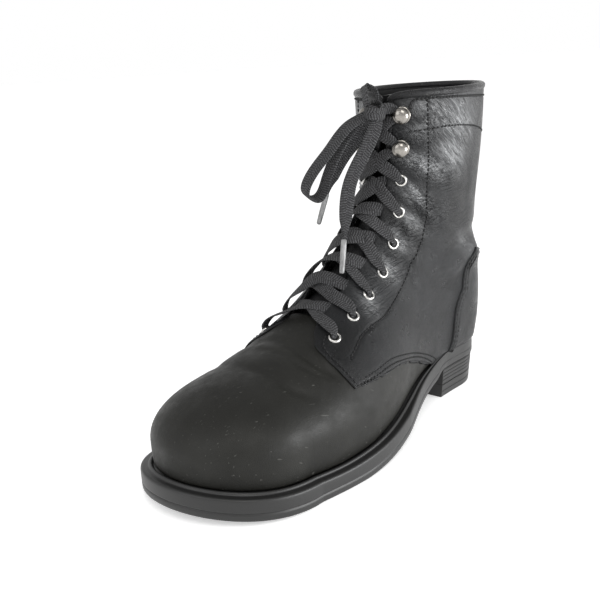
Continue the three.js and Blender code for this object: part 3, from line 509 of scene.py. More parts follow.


# painted patches: middle (u, t), reach in u and t, strength; "lean" wrinkles run diagonally, "flat" ones across,
# and the third kind is painted sheen: a lighter, silvery base colour with more specular, in place of highlights

wrinkleAndSheenMasks = {
    "lean": [(12.7, 0.28, 1.2, 0.24, 0.9), (13.2, 0.12, 0.7, 0.12, 0.6), (11.6, 0.45, 1.2, 0.2, 0.3),
             (12.6, 0.75, 1.2, 0.2, 0.3)],
    "flat": [(10.6, 0.2, 0.5, 0.22, 1.0), (9.1, 0.18, 0.5, 0.14, 0.9), (11.7, 0.05, 0.5, 0.1, 0.6),
             (7.6, 0.13, 0.6, 0.1, 0.6), (6.2, 0.18, 0.7, 0.1, 0.5), (4.6, 0.18, 0.8, 0.1, 0.4),
             (9.8, 0.5, 0.5, 0.2, 0.3)],
    "glossAndPaintedSheen": [(12.9, 0.33, 0.9, 0.17, 1.0), (11.7, 0.33, 0.7, 0.12, 0.9), (13.4, 0.1, 0.5, 0.08, 0.5),
              (10.7, 0.14, 0.35, 0.12, 0.8), (9.3, 0.12, 0.3, 0.07, 0.7), (8.3, 0.13, 0.25, 0.07, 0.6),
              (7.1, 0.13, 0.3, 0.07, 0.6), (5.9, 0.16, 0.3, 0.08, 0.6), (4.4, 0.16, 0.4, 0.08, 0.5),
              (12.2, 0.09, 0.5, 0.06, 0.4), (9.2, 0.62, 0.3, 0.12, 0.35)],
}


def paintWrinklesAndSheen(obj, count, u, t):
    # the first vertices of a piece are its outer face, in the grid's order
    for kind, spots in wrinkleAndSheenMasks.items():
        amount = np.zeros_like(u)
        for place, share, reachU, reachT, strength in spots:
            nearness = np.exp(-((u - place) / reachU) ** 2 - ((t - share) / reachT) ** 2)
            amount = np.maximum(amount, strength * nearness)
        layer = obj.data.attributes.new(kind, "FLOAT", "POINT")
        values = np.zeros(len(obj.data.vertices))
        values[:count] = amount.reshape(-1)[:count]
        layer.data.foreach_set("value", values)


def addQuarter(name, side):
    edges = quarterEdges(side)
    rows, columns = (edgeShares(edges[k].length, quarter["step"], True, False) for k in ("front", "bottom"))
    u, t = patchOnLast(edges["bottom"], edges["top"], edges["front"], edges["back"], rows, columns)
    spots = onLast(u, t, side)
    edge = np.concatenate([
        onLast(*edges["front"](np.linspace(0, 1, 700)).T, side),
        linePoints(panels["foot"], side, 400)])
    gap = distanceTo(spots, edge)
    out = quarter["lift"] + roundedEdge(gap, thickness["quarter"] - quarter["lift"])
    out = out + creaseHeight(spots, side) * np.clip(gap / quarter["creaseFade"], 0, 1)
    for line, depth, width in seams.values():
        groove = distanceTo(spots, linePoints(line, side, 400))
        out -= depth * np.exp(-(groove / width) ** 2)
    points = onLast(u, t, side, 0.0) + lastNormal(u, t, side) * out[..., None]
    piece = gridPiece(name, points)
    faceOutwards(piece, (60, 0, 100))
    paintWrinklesAndSheen(piece, min(len(piece.data.vertices), u.size), u, t)
    thicken(piece, thickness["facing"])
    return piece


# seams on the quarters: points (u, t), then how deep and how wide they sink the leather

seams = {
    "facing": ([(13.88, 0.10), (12.27, 0.118), (10.92, 0.152), (9.71, 0.177), (8.98, 0.206), (8.33, 0.219),
                (7.24, 0.247), (5.70, 0.314), (4.53, 0.299), (3.72, 0.228), (3.29, 0.208), (2.74, 0.225),
                (2.47, 0.234)], 0.5, 0.9),
    "band": ([(11.97, 0.04), (12.16, 0.082), (12.31, 0.127), (12.55, 0.216), (12.68, 0.296), (12.81, 0.468),
              (12.84, 0.586), (12.8, 0.8), (12.78, 1.0)], 0.5, 0.9),
    "foot": ([(2.07, 0.399), (2.81, 0.453), (3.55, 0.509), (4.07, 0.588), (4.64, 0.705), (5.28, 0.873),
              (5.50, 0.972)], 0.35, 0.6),
    "foot2": ([(2.46, 0.399), (3.14, 0.441), (3.66, 0.482), (4.17, 0.566), (5.33, 0.844), (5.58, 0.938),
               (5.68, 0.99)], 0.25, 0.6),
    "front": ([(2.62, 0.075), (2.31, 0.075), (2.06, 0.1), (1.98, 0.18), (2.03, 0.29), (2.1, 0.38)], 0.3, 0.6),
    "collar": ([(12.6, 0.035), (13.3, 0.037), (13.72, 0.045), (13.86, 0.08), (13.88, 0.14), (13.88, 0.27),
                (13.87, 0.43), (13.85, 0.6), (13.84, 0.8), (13.84, 1.0)], 0.5, 0.9),
}


# the vamp sinks under the quarters and is open at the throat
vamp = {"thickness": 1.1, "sink": 0.5, "sinkFrom": 2.4, "sinkRows": 0.6, "openFrom": 2.9, "openShare": 0.3}


def addVamp():
    rows = np.concatenate([np.linspace(-1, 0, 26)[:-1], np.arange(0, 6.3, 0.045)])
    half = np.concatenate([np.linspace(0, 0.2, 18)[:-1], np.linspace(0.2, 1, 66)])
    share = np.concatenate([-half[:0:-1], half])
    u, t = np.meshgrid(rows, share, indexing="ij")
    side = np.where(t < 0, -1.0, 1.0)
    spots = onLast(u, np.abs(t), side)
    out = np.where(t < 0, creaseHeight(spots, -1), creaseHeight(spots, 1)) * np.clip((1 - np.abs(t)) / 0.2, 0, 1)
    out = out - vamp["sink"] * np.clip((u - vamp["sinkFrom"]) / vamp["sinkRows"], 0, 1)
    points = spots + lastNormal(u, np.abs(t), side) * out[..., None]
    points[0] = spots[0]
    keep = (u < vamp["openFrom"]) | (np.abs(t) > vamp["openShare"])
    return sheetPiece("vampLeather", points, (200, 0, 35), vamp["thickness"], keep)


lining = {"thickness": 1.1, "inset": 1.3, "top": 14.08, "openFrom": 2.1, "openRows": 0.5, "columns": 60}


def addLining():
    # inside of the boot, with the throat left open
    rows = np.concatenate([np.linspace(-0.96, 0, 14)[:-1], np.linspace(0, lining["top"], 110)])
    columns = lining["columns"]
    opening = np.clip((rows - lining["openFrom"]) / lining["openRows"], 0, 1)
    pieces = []
    for side, label in ((1, "Outer"), (-1, "Inner")):
        start = throatEdge(rows, side) * opening + 0.01 * opening
        share = start[:, None] + (0.995 - start[:, None]) * np.linspace(0, 1, columns)[None]
        u = np.repeat(rows[:, None], columns, axis=1)
        points = onLast(u, share, side, -lining["inset"])
        pieces.append(sheetPiece("lining" + label, points, (70, 0, 90), lining["thickness"]))
    return joinAll(pieces, "lining")


def joinAll(pieces, name):
    deselectAll()
    for piece in pieces:
        piece.select_set(True)
    bpy.context.view_layer.objects.active = pieces[0]
    bpy.ops.object.join()
    pieces[0].name = pieces[0].data.name = name
    return pieces[0]


# two rows of stitches lie in grooves beside the counter's edge, with a swell between them
counter = {"thickness": 1.2, "lift": 0.2, "edge": 1.3, "step": 1.1, "rows": (2.4, 5.6), "depths": (0.5, 0.35),
           "groove": 0.6, "swell": 0.25, "swellAt": 4.0}


def addCounter():
    lift = counter["lift"]
    (near, far), (nearDepth, farDepth) = counter["rows"], counter["depths"]
    pieces = []
    for side, label in ((1, "Outer"), (-1, "Inner")):
        front = lineOnLast(panels["counter"], side)
        top = lineOnLast(panels["counterTop"], side)
        bottom = lineOnLast([(u, 1.0) for u in (6.16, 6.8, 7.4, 8.0)], side, False)
        back = lineOnLast([(u, 1.0) for u in (8.0, 8.6, 9.2, 9.75)], side, False)
        rows = edgeShares(front.length, counter["step"], False, True)
        columns = edgeShares(bottom.length, counter["step"], True, False)
        u, t = patchOnLast(bottom, top, front, back, rows, columns)
        spots = onLast(u, t, side)
        lines = np.concatenate([onLast(*line(np.linspace(0, 1, 400)).T, side) for line in (front, top)])
        gap = distanceTo(spots, lines)
        out = lift + roundedEdge(gap, thickness["counter"] + thickness["quarter"] - lift, counter["edge"])
        out = out + creaseHeight(spots, side)
        out -= (nearDepth * np.exp(-((gap - near) / counter["groove"]) ** 2)
                + farDepth * np.exp(-((gap - far) / counter["groove"]) ** 2))
        out += counter["swell"] * np.exp(-(gap - counter["swellAt"]) ** 2)
        points = spots + lastNormal(u, t, side) * out[..., None]
        points[:, -1, 1] = spots[:, -1, 1]
        piece = gridPiece("counter" + label, points[:, ::side])
        faceOutwards(piece, (45, 0, 60))
        pieces.append(piece)
    whole = joinAll(pieces, "heelCounter")
    editMesh(whole, weld=2e-5)
    thicken(whole, counter["thickness"])
    return whole


# tubes and flat laces

def unit(vectors):
    return vectors / np.maximum(np.linalg.norm(vectors, axis=-1, keepdims=True), 1e-9)


def smoothPath(points, step):
    points = np.asarray(points, float)
    runs = runAlong(points[:, :3])
    count = max(8, int(runs[-1] / step))
    at = np.linspace(0, runs[-1], count)
    return np.stack([curveThrough(runs, points[:, k])(at) for k in range(points.shape[1])], -1)


def stripPiece(name, path, normal, width, thick):
    # a strip with a rounded flat section; width and thick may change along it
    path = np.asarray(path, float)
    count = len(path)
    tangent = unit(np.gradient(path, axis=0))
    normal = np.asarray(normal, float) * np.ones((count, 1))
    normal = unit(normal - tangent * (normal * tangent).sum(-1, keepdims=True))
    wide = np.cross(tangent, normal)
    width = np.broadcast_to(np.asarray(width, float), (count,))
    thick = np.broadcast_to(np.asarray(thick, float), (count,))
    angle = np.linspace(0, 2 * np.pi, 21)
    across = np.sign(np.cos(angle)) * np.abs(np.cos(angle)) ** 0.75
    up = np.sign(np.sin(angle)) * np.abs(np.sin(angle)) ** 0.75
    across[-1], up[-1] = across[0], up[0]
    rings = (path[:, None] + wide[:, None] * (across[None, :, None] * width[:, None, None] / 2)
             + normal[:, None] * (up[None, :, None] * thick[:, None, None] / 2))
    tipStart, tipEnd = path[0] - tangent[0] * 0.3, path[-1] + tangent[-1] * 0.3
    start = np.stack([np.broadcast_to(tipStart, rings[0].shape),
                      mix(tipStart, rings[0] - tangent[0] * 0.25, 0.8)])
    end = np.stack([mix(tipEnd, rings[-1] + tangent[-1] * 0.25, 0.8),
                    np.broadcast_to(tipEnd, rings[0].shape)])
    rings = np.concatenate([start, rings, end])
    run = runAlong(path)
    along = np.concatenate([[run[0]] * 2, run, [run[-1]] * 2])
    uv = np.stack([np.broadcast_to((across * 0.5 + 0.5)[None], rings.shape[:2]) * 8.0,
                   np.broadcast_to(along[:, None], rings.shape[:2])], -1)
    return gridPiece(name, rings, closed=True, uv=uv)


def latheAt(name, profile, places, axes, segments=40):
    # one closed profile (radius, height) turned about each place's own axis, all in one mesh
    angle = np.linspace(0, 2 * np.pi, segments + 1)
    profile = np.asarray(profile, float)
    pieces = []
    for place, axis in zip(places, axes):
        axis = np.asarray(axis, float)
        side = unit(np.cross(axis, (0.3, 1, 0.2)))
        other = np.cross(axis, side)
        around = np.cos(angle)[None, :, None] * side + np.sin(angle)[None, :, None] * other
        rings = np.asarray(place) + profile[:, 0][:, None, None] * around + profile[:, 1][:, None, None] * axis
        pieces.append(gridPiece(name, rings, closed=True))
    return joinAll(pieces, name)


# collar roll

collar = {"bulge": 2.2, "rise": 2.5, "row": 14.12, "front": [10.3, 10.8, 11.4, 12.0, 12.6, 13.1, 13.5, 13.8]}


def addCollar():
    # one roll round the top, turning down the front edge of each facing
    legs = []
    for side in (1, -1):
        edge = [(u, float(throatEdge(u, side)), side) for u in collar["front"]]
        t0 = edge[-1][1]
        edge += [(13.98, t0 + 0.005, side), (14.08, t0 + 0.03, side)]
        edge += [(collar["row"], t, side) for t in np.linspace(t0 + 0.07, 0.96, 26)]
        legs.append(edge)
    route = legs[0] + [(collar["row"], 1.0, 1)] + legs[1][::-1]
    u, t, side = (np.array(column, float) for column in zip(*route))
    middle = onLast(u, t, side, -0.2)
    normal = lastNormal(u, np.clip(t, 0.02, 0.985), side)
    normal[len(legs[0])] = (-1, 0, 0)
    both = smoothPath(np.concatenate([middle, normal], axis=1), 1.0)
    path, normal = both[:, :3], unit(both[:, 3:])
    tangent = unit(np.gradient(path, axis=0))
    away = unit(np.cross(normal, tangent))
    run = runAlong(path)
    if away[len(away) // 2][2] < 0:
        away = -away
    ends = np.clip(np.minimum(run, run[-1] - run) / 14, 0.12, 1) ** 0.7
    wave = 1 + 0.03 * np.sin(run / 4.1) + 0.025 * np.sin(run / 2.3 + 1)
    angle = np.linspace(0, 2 * np.pi, 25)
    bulge = collar["bulge"] * ends * wave
    rise = collar["rise"] * ends
    rings = (path[:, None] + normal[:, None] * (np.cos(angle)[None, :, None] * bulge[:, None, None])
             + away[:, None] * ((np.sin(angle)[None, :, None] + 0.1) * rise[:, None, None]))
    caps = [np.broadcast_to(path[k], rings[0].shape)[None] for k in (0, -1)]
    return gridPiece("collarRoll", np.concatenate([caps[0], rings, caps[1]]), closed=True)


# tongue

tongue = {"thickness": 2.2, "top": 14.0, "depth": 3.0, "overlap": 13, "columns": 61, "waves": (0.35, 0.25)}


def addTongue():
    rows = np.concatenate([[2.0, 2.03], np.linspace(2.1, 13.9, 150), [13.96, tongue["top"]]])
    columns = tongue["columns"]
    shares = np.linspace(-1, 1, columns)
    half = throatHalf(rows) + tongue["overlap"] * np.clip((rows - 1.5) / 1.2, 0.3, 1)
    distance = shares[None] * half[:, None]
    u = np.repeat(rows[:, None], columns, axis=1)
    side = np.where(distance < 0, -1.0, 1.0)
    t = acrossShare(u, side, np.abs(distance))
    room = 1.8 * np.clip((u - 2.62) / 1.5, 0, 1) + 1.2 * np.clip(u - 12, 0, 1)
    broad, fine = tongue["waves"]
    out = -(tongue["depth"] + room) + broad * np.sin(distance / 5.3 + u * 1.7) * np.sin(u * 2.9)
    out += fine * np.sin(u * 7.1 + 0.8 * np.sin(distance / 6))
    points = onLast(u, t, side, 0.0) + lastNormal(u, t, side) * out[..., None]
    return sheetPiece("tongueLeather", points, (50, 0, 90), tongue["thickness"])


# places of the eyelets and hooks: evenly spaced along the outer facing

eyeletCount, hookCount = 7, 2


def facingStations():
    ladder = np.linspace(2.55, 14, 401)
    spots = onLast(ladder, acrossShare(ladder, 1, eyeletHalf(ladder)), 1, last["step"])
    runs = runAlong(spots)
    topRoom = 11
    return np.interp(np.linspace(0, runs[-1] - topRoom, eyeletCount + hookCount), runs, ladder)


stations = facingStations()


def across(u, distance, out):
    # a point at a signed distance from the ridge: plus on the outer side
    side = 1.0 if distance >= 0 else -1.0
    return onLast(u, acrossShare(u, side, abs(distance)), side, out)


def acrossNormal(u, distance):
    side = 1.0 if distance >= 0 else -1.0
    t = float(acrossShare(u, side, max(abs(distance), 0.6)))
    return lastNormal(np.array(u), np.array(t), side)


def fittings(name, rows, kind, profile, segments):
    # one turned part at each row of both facings, and the nodes that they stand for
    places, axes, names = [], [], []
    for side, label in ((1, "outer"), (-1, "inner")):
        for number, u in enumerate(rows, 1):
            distance = side * float(eyeletHalf(u))
            places.append(across(u, distance, last["step"]))
            axes.append(acrossNormal(u, distance))
            names.append(f"{kind}_{label}_{number}")
    return latheAt(name, profile, places, axes, segments), names


def addEyelets():
    profile = [(2.25, -3.4), (2.25, -1), (2.25, 0.2), (2.33, 0.65), (2.6, 0.98), (3.0, 1.12), (3.4, 1.02),
               (3.75, 0.72), (3.98, 0.3), (4.05, -0.1), (3.95, -0.3), (3.2, -0.3), (2.6, -0.5), (2.55, -3.4),
               (2.25, -3.4)]
    return fittings("eyeletRings", stations[:eyeletCount], "eyelet", profile, 40)


def addHooks():
    profile = [(0, -0.2), (5.2, -0.2), (5.45, 0.1), (5.45, 0.6), (5.2, 0.95), (4.6, 1.1), (3.2, 1.15), (2.4, 1.4),
               (2.2, 2.2), (2.2, 3.2), (2.5, 3.7), (3.6, 3.9), (4.6, 4.0), (4.95, 4.25), (5.0, 4.6), (4.8, 5.1),
               (4.3, 5.75), (3.5, 6.35), (2.4, 6.85), (1.2, 7.1), (0, 7.15)]
    return fittings("domeHooks", stations[eyeletCount:], "hook", profile, 48)


def awayFrom(u, distance):
    # along the surface, away from the ridge
    step = math.copysign(1, distance)
    return unit(across(u, distance + step, 0.0) - across(u, distance - step, 0.0))


def upAlong(u, distance):
    # along the surface, towards the collar
    return unit(across(u + 0.05, distance, 0.0) - across(u - 0.05, distance, 0.0))


# lace through the eyelets

lace = {
    "width": 8.4, "thickness": 1.35, "boreWidth": 3.9, "boreThickness": 2.3,
    "bulge": {1: [2.0, 2.6, 3.8, 2.4, 3.4, 2.6], -1: [4.6, 5.8, 7.0, 5.6, 4.6, 3.2]},
    "sway": [0.10, -0.12, 0.06, 0.14, -0.10, 0.08], "tilt": [0.35, -0.3, 0.45, -0.2, 0.3, -0.35],
    "knot": (118.6, 22.3, 205.2),
}


def laceRun(first):
    # control points: place, normal of the flat side, width, thickness
    rows = []

    def add(point, normal, width, thick):
        rows.append(np.concatenate([point, normal, [width, thick]]))
    side, flip = first, -1.0
    u = stations[0]
    add(across(u - 0.12, 0.0, -1.6), -acrossNormal(u, 0.0), 6.5, 1.4)
    add(across(u - 0.06, side * 0.5 * float(eyeletHalf(u)), -2.4), -acrossNormal(u, side * 4.0), 6.5, 1.4)
    for i in range(eyeletCount):
        u = stations[i]
        e = float(eyeletHalf(u))
        n = acrossNormal(u, side * e)
        away = awayFrom(u, side * e)
        hole = across(u, side * e, 0.0)
        add(hole - away * 1.6 + n * -3.3, (n - away) * flip, 5.0, 2.0)
        add(hole + n * -0.6, -away * flip, lace["boreWidth"], lace["boreThickness"])
        add(hole - away * 0.25 + n * 2.0, -away * flip, lace["boreWidth"] + 0.3, lace["boreThickness"])
        nextU = stations[i + 1]
        step = nextU - u
        edge = float(throatHalf(u))
        top = -flip
        row = min(i, 5)
        rise = lace["bulge"][side][row]
        sway, tilt = side * lace["sway"][row] * step, upAlong(u, side * 2.0) * lace["tilt"][row]
        add(across(u + 0.10 * step, side * (e - 3.0), 3.3 if side > 0 else 3.0 + rise * 0.3),
            (acrossNormal(u, side * e) + tilt * 0.5) * top, 7.0, 1.6)
        if i < eyeletCount - 1:  # over to the next eyelet on the other side
            add(across(u + 0.24 * step + sway * 0.6, side * edge, max(2.9, rise * 0.85)),
                (acrossNormal(u, side * edge) + tilt) * top, lace["width"], lace["thickness"])
            add(across(u + 0.5 * step + sway, side * 0.15 * edge, rise), (acrossNormal(u, side * 1.0) + tilt) * top,
                lace["width"] + 0.6, 1.25)
            far = float(throatHalf(nextU))
            add(across(u + 0.74 * step, -side * (far - 0.6), rise * 0.35 - 0.6),
                acrossNormal(nextU, -side * far) * top, lace["width"], 1.25)
            farHole = float(eyeletHalf(nextU))
            add(across(u + 0.9 * step, -side * (farHole - 4.6), -3.0),
                acrossNormal(nextU, -side * farHole) * top, 6.4, 1.4)
            side, flip = -side, -flip
    # on over the gap to the first hook on the other side, round it, and over to the second
    for hook in range(eyeletCount, eyeletCount + hookCount):
        nextU = stations[hook]
        u = stations[hook - 1]
        top = -flip
        side = -side
        e = float(eyeletHalf(nextU))
        n = acrossNormal(nextU, side * e)
        centre = across(nextU, side * e, last["step"])
        away, up = awayFrom(nextU, side * e), upAlong(nextU, side * e)
        add(across(mix(u, nextU, 0.5), side * 0.2, 4.6 if hook == eyeletCount else 5.4),
            acrossNormal(u, side * 1.0) * top, lace["width"], 1.3)
        add(across(mix(u, nextU, 0.8), side * (e - 6.2), 4.2), acrossNormal(u, side * 3.0) * top, 6.2, 1.5)
        add(centre + n * 2.6 - up * 3.4 - away * 1.2, -up * top * 0.9 - away * 0.3 * top, 3.0, 1.9)
        add(centre + n * 2.6 + away * 3.5 - up * 0.4, away * -top, 2.8, 1.9)
        add(centre + n * 2.6 + up * 3.4 - away * 0.8, up * top, 3.0, 1.9)
        add(centre + n * 3.0 + up * 4.2 - away * 4.6, (up * 0.4 + n) * top, 5.6, 1.5)
    return rows


def addLaceRuns():
    knot = np.array(lace["knot"])
    pieces = []
    for first in (1, -1):
        rows = laceRun(first)
        turn = rows[-1][3:6]
        middle = (rows[-1][:3] + knot) / 2 + np.array([1.5, 0, 1.0])
        rows.append(np.concatenate([middle, turn, [6.5, 1.5]]))
        rows.append(np.concatenate([knot, turn, [5.0, 1.8]]))
        path = smoothPath(rows, 0.8)
        pieces.append(stripPiece("laceRun", path[:, :3], unit(path[:, 3:6]), np.clip(path[:, 6], 2.6, 9.4),
                                 np.clip(path[:, 7], 1.15, 2.4)))
    return joinAll(pieces, "laceCrossings")


# the bow: two flat laces that hang from the knot, each with its tip

bow = {
    "short": {
        "loop": [(119, 18, 207), (121, 17, 216), (118, 15, 221), (114, 18, 219), (115, 22, 207)],
        "loopTurn": (0.5, 0.8, 0.2),
        "end": [(115, 15, 199), (116, 5, 188), (119, -4, 177), (122, -11, 165), (124, -15, 153)],
        "endTurn": (-0.6, 0.8, 0),
    },
    "long": {
        "loop": [(120, 17, 204), (131, 11, 198), (141, 3, 184), (149, -7, 168), (148, -11, 157), (141, -9, 154),
                 (138, -3, 165), (135, 4, 182), (123, 15, 201)],
        "loopTurn": (-0.1, -0.8, 0.4),
        "end": [(119, 24, 202), (123, 23, 192), (128, 18, 179), (134, 13, 164), (138, 12, 147), (144, 14, 129)],
        "endTurn": (-0.6, 0.8, 0),
    },
    "width": 8.6, "thickness": 1.35,
    "tip": [(0, 0), (1.2, 0), (1.6, 0.3), (1.75, 1), (1.8, 3), (1.75, 12), (1.6, 19), (1.45, 20.6), (1.0, 21.2),
            (0, 21.3)],
}


def addBow(which, label):
    # one lace: out of the knot round its loop, back through the knot and down to its tip
    lay = bow[which]
    knot = np.array(lace["knot"])
    loop = np.array(lay["loop"], float)
    end = np.array(lay["end"], float)
    points = np.concatenate([[knot + (0.4, -1.6, 0.6)], loop, [knot + (-0.6, 1.2, -0.6)], end])
    wides = np.array([lay["loopTurn"]] * (len(loop) + 1) + [lay["endTurn"]] * (len(end) + 1), float)
    widths = np.array([5.0] + [bow["width"]] * len(loop) + [4.6] + [bow["width"]] * (len(end) - 1) + [3.4])
    widths[1] = widths[len(loop)] = 6.6
    widths[len(loop) + 2] = 6.4
    path = smoothPath(np.concatenate([points, wides, widths[:, None]], axis=1), 0.8)
    line, wide, width = path[:, :3], unit(path[:, 3:6]), path[:, 6]
    tangent = unit(np.gradient(line, axis=0))
    run = runAlong(line)
    taper = np.clip((run[-1] - run) / 13, 0, 1)
    width = mix(2.6, np.clip(width, 4.2, 9.2), taper)
    thick = mix(2.4, bow["thickness"], taper)
    piece = stripPiece(label, line, np.cross(wide, tangent), width, thick)
    direction = tangent[-1]
    start = line[-1] - direction * 1.5
    tip = latheAt(label + "Tip", bow["tip"], [start], [direction], 24)
    return piece, tip, line, float(run[-1])


# wraps of the knot: axis, both radii, where they start, width of the lace, shift along the axis
wraps = [
    ((0, 0, 1), (6.4, 5.4), 0.0, 7.2, 0.0),
    ((0.5, 0.2, 0.84), (5.6, 4.6), 1.2, 6.4, 1.6),
    ((-0.7, 0.4, 0.6), (5.0, 4.4), 2.1, 6.0, -1.6),
]


def addKnot():
    # three wraps of flat lace drawn tight round each other
    knot = np.array(lace["knot"])
    pieces = []
    for axis, (wideRadius, slimRadius), turn, width, lift in wraps:
        axis = unit(np.array(axis, float))
        side = unit(np.cross(axis, (0.2, 1, 0.1)))
        other = np.cross(axis, side)
        angle = np.linspace(0, 2 * np.pi * 0.97, 60) + turn
        ring = (knot + np.cos(angle)[:, None] * side * wideRadius + np.sin(angle)[:, None] * other * slimRadius
                + axis * (lift + 0.8 * np.sin(angle + turn))[:, None])
        pieces.append(stripPiece("wrap", ring, unit(ring - knot - axis * lift), width, 1.5))
    core = [(0, -4.2), (2.6, -3.8), (4.2, -2), (4.6, 0), (4.2, 2), (2.6, 3.8), (0, 4.2)]
    pieces.append(latheAt("core", core, [knot], [np.array((0.1, 0.2, 0.97))], 24))
    return joinAll(pieces, "bowKnot")


# sole: sections across the boot, from the heel to the toe

sole = {
    "welt": 3.4, "gap": 0.3, "outsole": 9.5, "toeLedge": 8, "heelLedge": 1.2, "heelHeight": 23.5, "breast": 60,
    "lift": 9.5, "ballFlat": 0.7, "line": 5.0, "tread": 2.0,
    "heelLines": [21.2, 18.6, 15.9, 13.2], "liftLines": [4.6],
}
tread = {"count": 7, "start": 0.6, "pitch": 0.048, "turn": 0.32, "edge": 6, "middle": 3, "half": 2.2, "slope": 0.6}
stationOfX = np.linspace(0, seatRow, 400)
edgeXs = lastCurves["edgeX"](stationOfX)


def planHalf(x, side, grow):
    tip = last["length"] + grow
    toeShare = np.clip((x - rowOf["edgeX"][0]) / (tip - rowOf["edgeX"][0]), 0, 1)
    reach = lastCurves["back"](seatRow) + grow
    heelShare = np.clip((reach - (x + grow)) / reach, 0, 1)
    u = np.interp(-x, -edgeXs, stationOfX)
    width = lastCurves["outer" if side > 0 else "inner"](u) * (1 - lastCurves["tuck"](u) * 0.8) + grow
    close = np.sqrt(np.maximum(0, 1 - toeShare ** last["toePower"]))
    close = close * np.sqrt(np.maximum(0, 1 - heelShare ** last["heelPower"]))
    return -last["tipOffset"] * toeShare**2, width * close


def ledgeAt(x):
    return mix(sole["heelLedge"], sole["toeLedge"], np.clip((x / last["length"] - 0.2) / 0.28, 0, 1))


def platePiece(name, start, end, shares, profile, roundEnd=True, shape=None):
    # profile(x) lists (grow, height, share of the half width) from the top's middle to the underside's
    rings = []
    for share in shares:
        base = mix(start, end, share)
        ring = []
        for side in (1, -1):
            part = []
            for grow, height, inner in profile(base):
                x = mix(start - grow, end + grow if roundEnd else end, share)
                middle, half = planHalf(x, side, grow)
                part.append((x, float(middle + side * half * inner), height))
            ring.append(part)
        rings.append(ring[0] + ring[1][::-1] + [ring[0][0]])
    points = np.array(rings)
    if shape is not None:
        points = shape(points)
    if not roundEnd:
        cap = points[-1].copy()
        cap[:, 1] = mix(cap[:, 1].min(), cap[:, 1].max(), 0.5)
        points = np.concatenate([points, cap[None]])
    return gridPiece(name, points, closed=True)


def outsoleBottom(x):
    seatLevel = last["seat"] - 2 * sole["gap"] - sole["welt"] - sole["outsole"]
    arch = soleTop(x) - last["forefoot"] - sole["ballFlat"]
    return float(mix(seatLevel, max(arch, 0.0), np.clip((x - sole["breast"] - 3) / 10, 0, 1)))


def soleProfile(x):
    top = float(soleTop(x)) - sole["gap"]
    low = min(outsoleBottom(x), top - 7)
    ledge = float(ledgeAt(x))
    s = min(1.0, ledge / 6.5)
    # the top, the groove beside the upper, and the rounded bead of the welt
    rows = [(-3, top - 0.6, k) for k in (0, 0.5, 1)]
    rows += [(-0.9, top - 1.0 * s - 0.4, 1), (-0.1 * s, top - 1.5 * s - 0.4, 1), (0.7 * s, top - 1.5 * s - 0.4, 1)]
    rows += [(a * s, top + b * s, 1) for a, b in (
        (1.1, -0.7), (1.3, 0.15), (1.7, 0.75), (2.3, 0.95), (2.9, 0.7), (3.3, 0.1), (3.5, -0.5), (3.8, -0.6))]
    rows += [(mix(3.8 * s, ledge - 1.4 * s, k), top - 0.6 * s, 1) for k in (0.33, 0.66, 1)]
    rows += [(ledge - 0.8 * s, top - 0.75 * s, 1), (ledge - 0.35 * s, top - 1.1 * s, 1),
             (ledge - 0.1, top - 1.7, 1), (ledge, top - 2.4, 1)]
    # the side wall with its line, and the underside
    line = low + min(sole["line"], (top - low) * 0.45)
    rows += [(ledge + 0.05, mix(top - 2.4, line + 0.5, k), 1) for k in (0.3, 0.6, 0.9)]
    rows += [(ledge, line + 0.45, 1), (ledge - 0.4, line + 0.15, 1), (ledge - 0.4, line - 0.15, 1),
             (ledge - 0.02, line - 0.45, 1)]
    rows += [(ledge, mix(line - 0.5, low + 1.6, k), 1) for k in (0.4, 0.8)]
    rows += [(ledge - 0.1, low + 1.1, 1), (ledge - 0.45, low + 0.5, 1), (ledge - 1.0, low + 0.15, 1),
             (ledge - 1.7, low, 1)]
    rows += [(ledge - 2.2, low, k) for k in np.linspace(1, 0, 26)[1:]]
    return rows


def cutTread(points):
    # grooves in the underside of the forefoot
    x, y, z = points[..., 0], points[..., 1], points[..., 2]
    side = np.where(y < 0, -1.0, 1.0)
    floor = np.array([outsoleBottom(v) for v in x[:, 0]])[:, None]
    under = np.abs(z - floor) < 0.06
    depth = np.zeros_like(z)
    for i in range(tread["count"]):
        place = last["length"] * (tread["start"] + tread["pitch"] * i)
        for way in (1, -1):
            middle, half = planHalf(np.array(place), way, 0.0)
            reach = abs(float(middle + way * half)) - tread["edge"]
            dx, dy = x - place, y - way * (tread["middle"] + reach) / 2
            turn = way * tread["turn"]
            run = -dx * math.sin(turn) + dy * math.cos(turn)
            off = dx * math.cos(turn) + dy * math.sin(turn)
            inside = (np.clip((tread["half"] - np.abs(off)) / tread["slope"], 0, 1)
                      * np.clip(((reach - tread["middle"]) / 2 - np.abs(run)) / 0.8, 0, 1))
            depth = np.maximum(depth, inside * (side == way))
    points[..., 2] = z + np.where(under, depth * sole["tread"], 0)
    return points


def addSole():
    shares = (1 - np.cos(np.linspace(0, np.pi, 260))) / 2
    return platePiece("soleAndWelt", 0, last["length"], shares, soleProfile, shape=cutTread)


def heelTaper(z):
    return 0.6 + 2.2 * (1 - z / sole["heelHeight"]) - sole["heelLedge"]


def heelLevels(low, high, lines):
    # a profile from the middle of the top, down the side with its lines, to the middle underneath
    at = {z: -heelTaper(z) for z in (low, high, *lines)}
    rows = [(at[high], high, 0), (at[high], high, 0.5), (at[high] - 0.5, high, 1), (at[high], high - 0.4, 1)]
    for z in lines:
        rows += [(at[z], z + 0.45, 1), (at[z] - 0.35, z + 0.12, 1), (at[z] - 0.35, z - 0.12, 1), (at[z], z - 0.45, 1)]
    rows += [(at[low], low + 0.5, 1), (at[low] - 0.4, low, 1)]
    return rows + [(at[low] - 1.0, low, k) for k in np.linspace(1, 0, 22)]


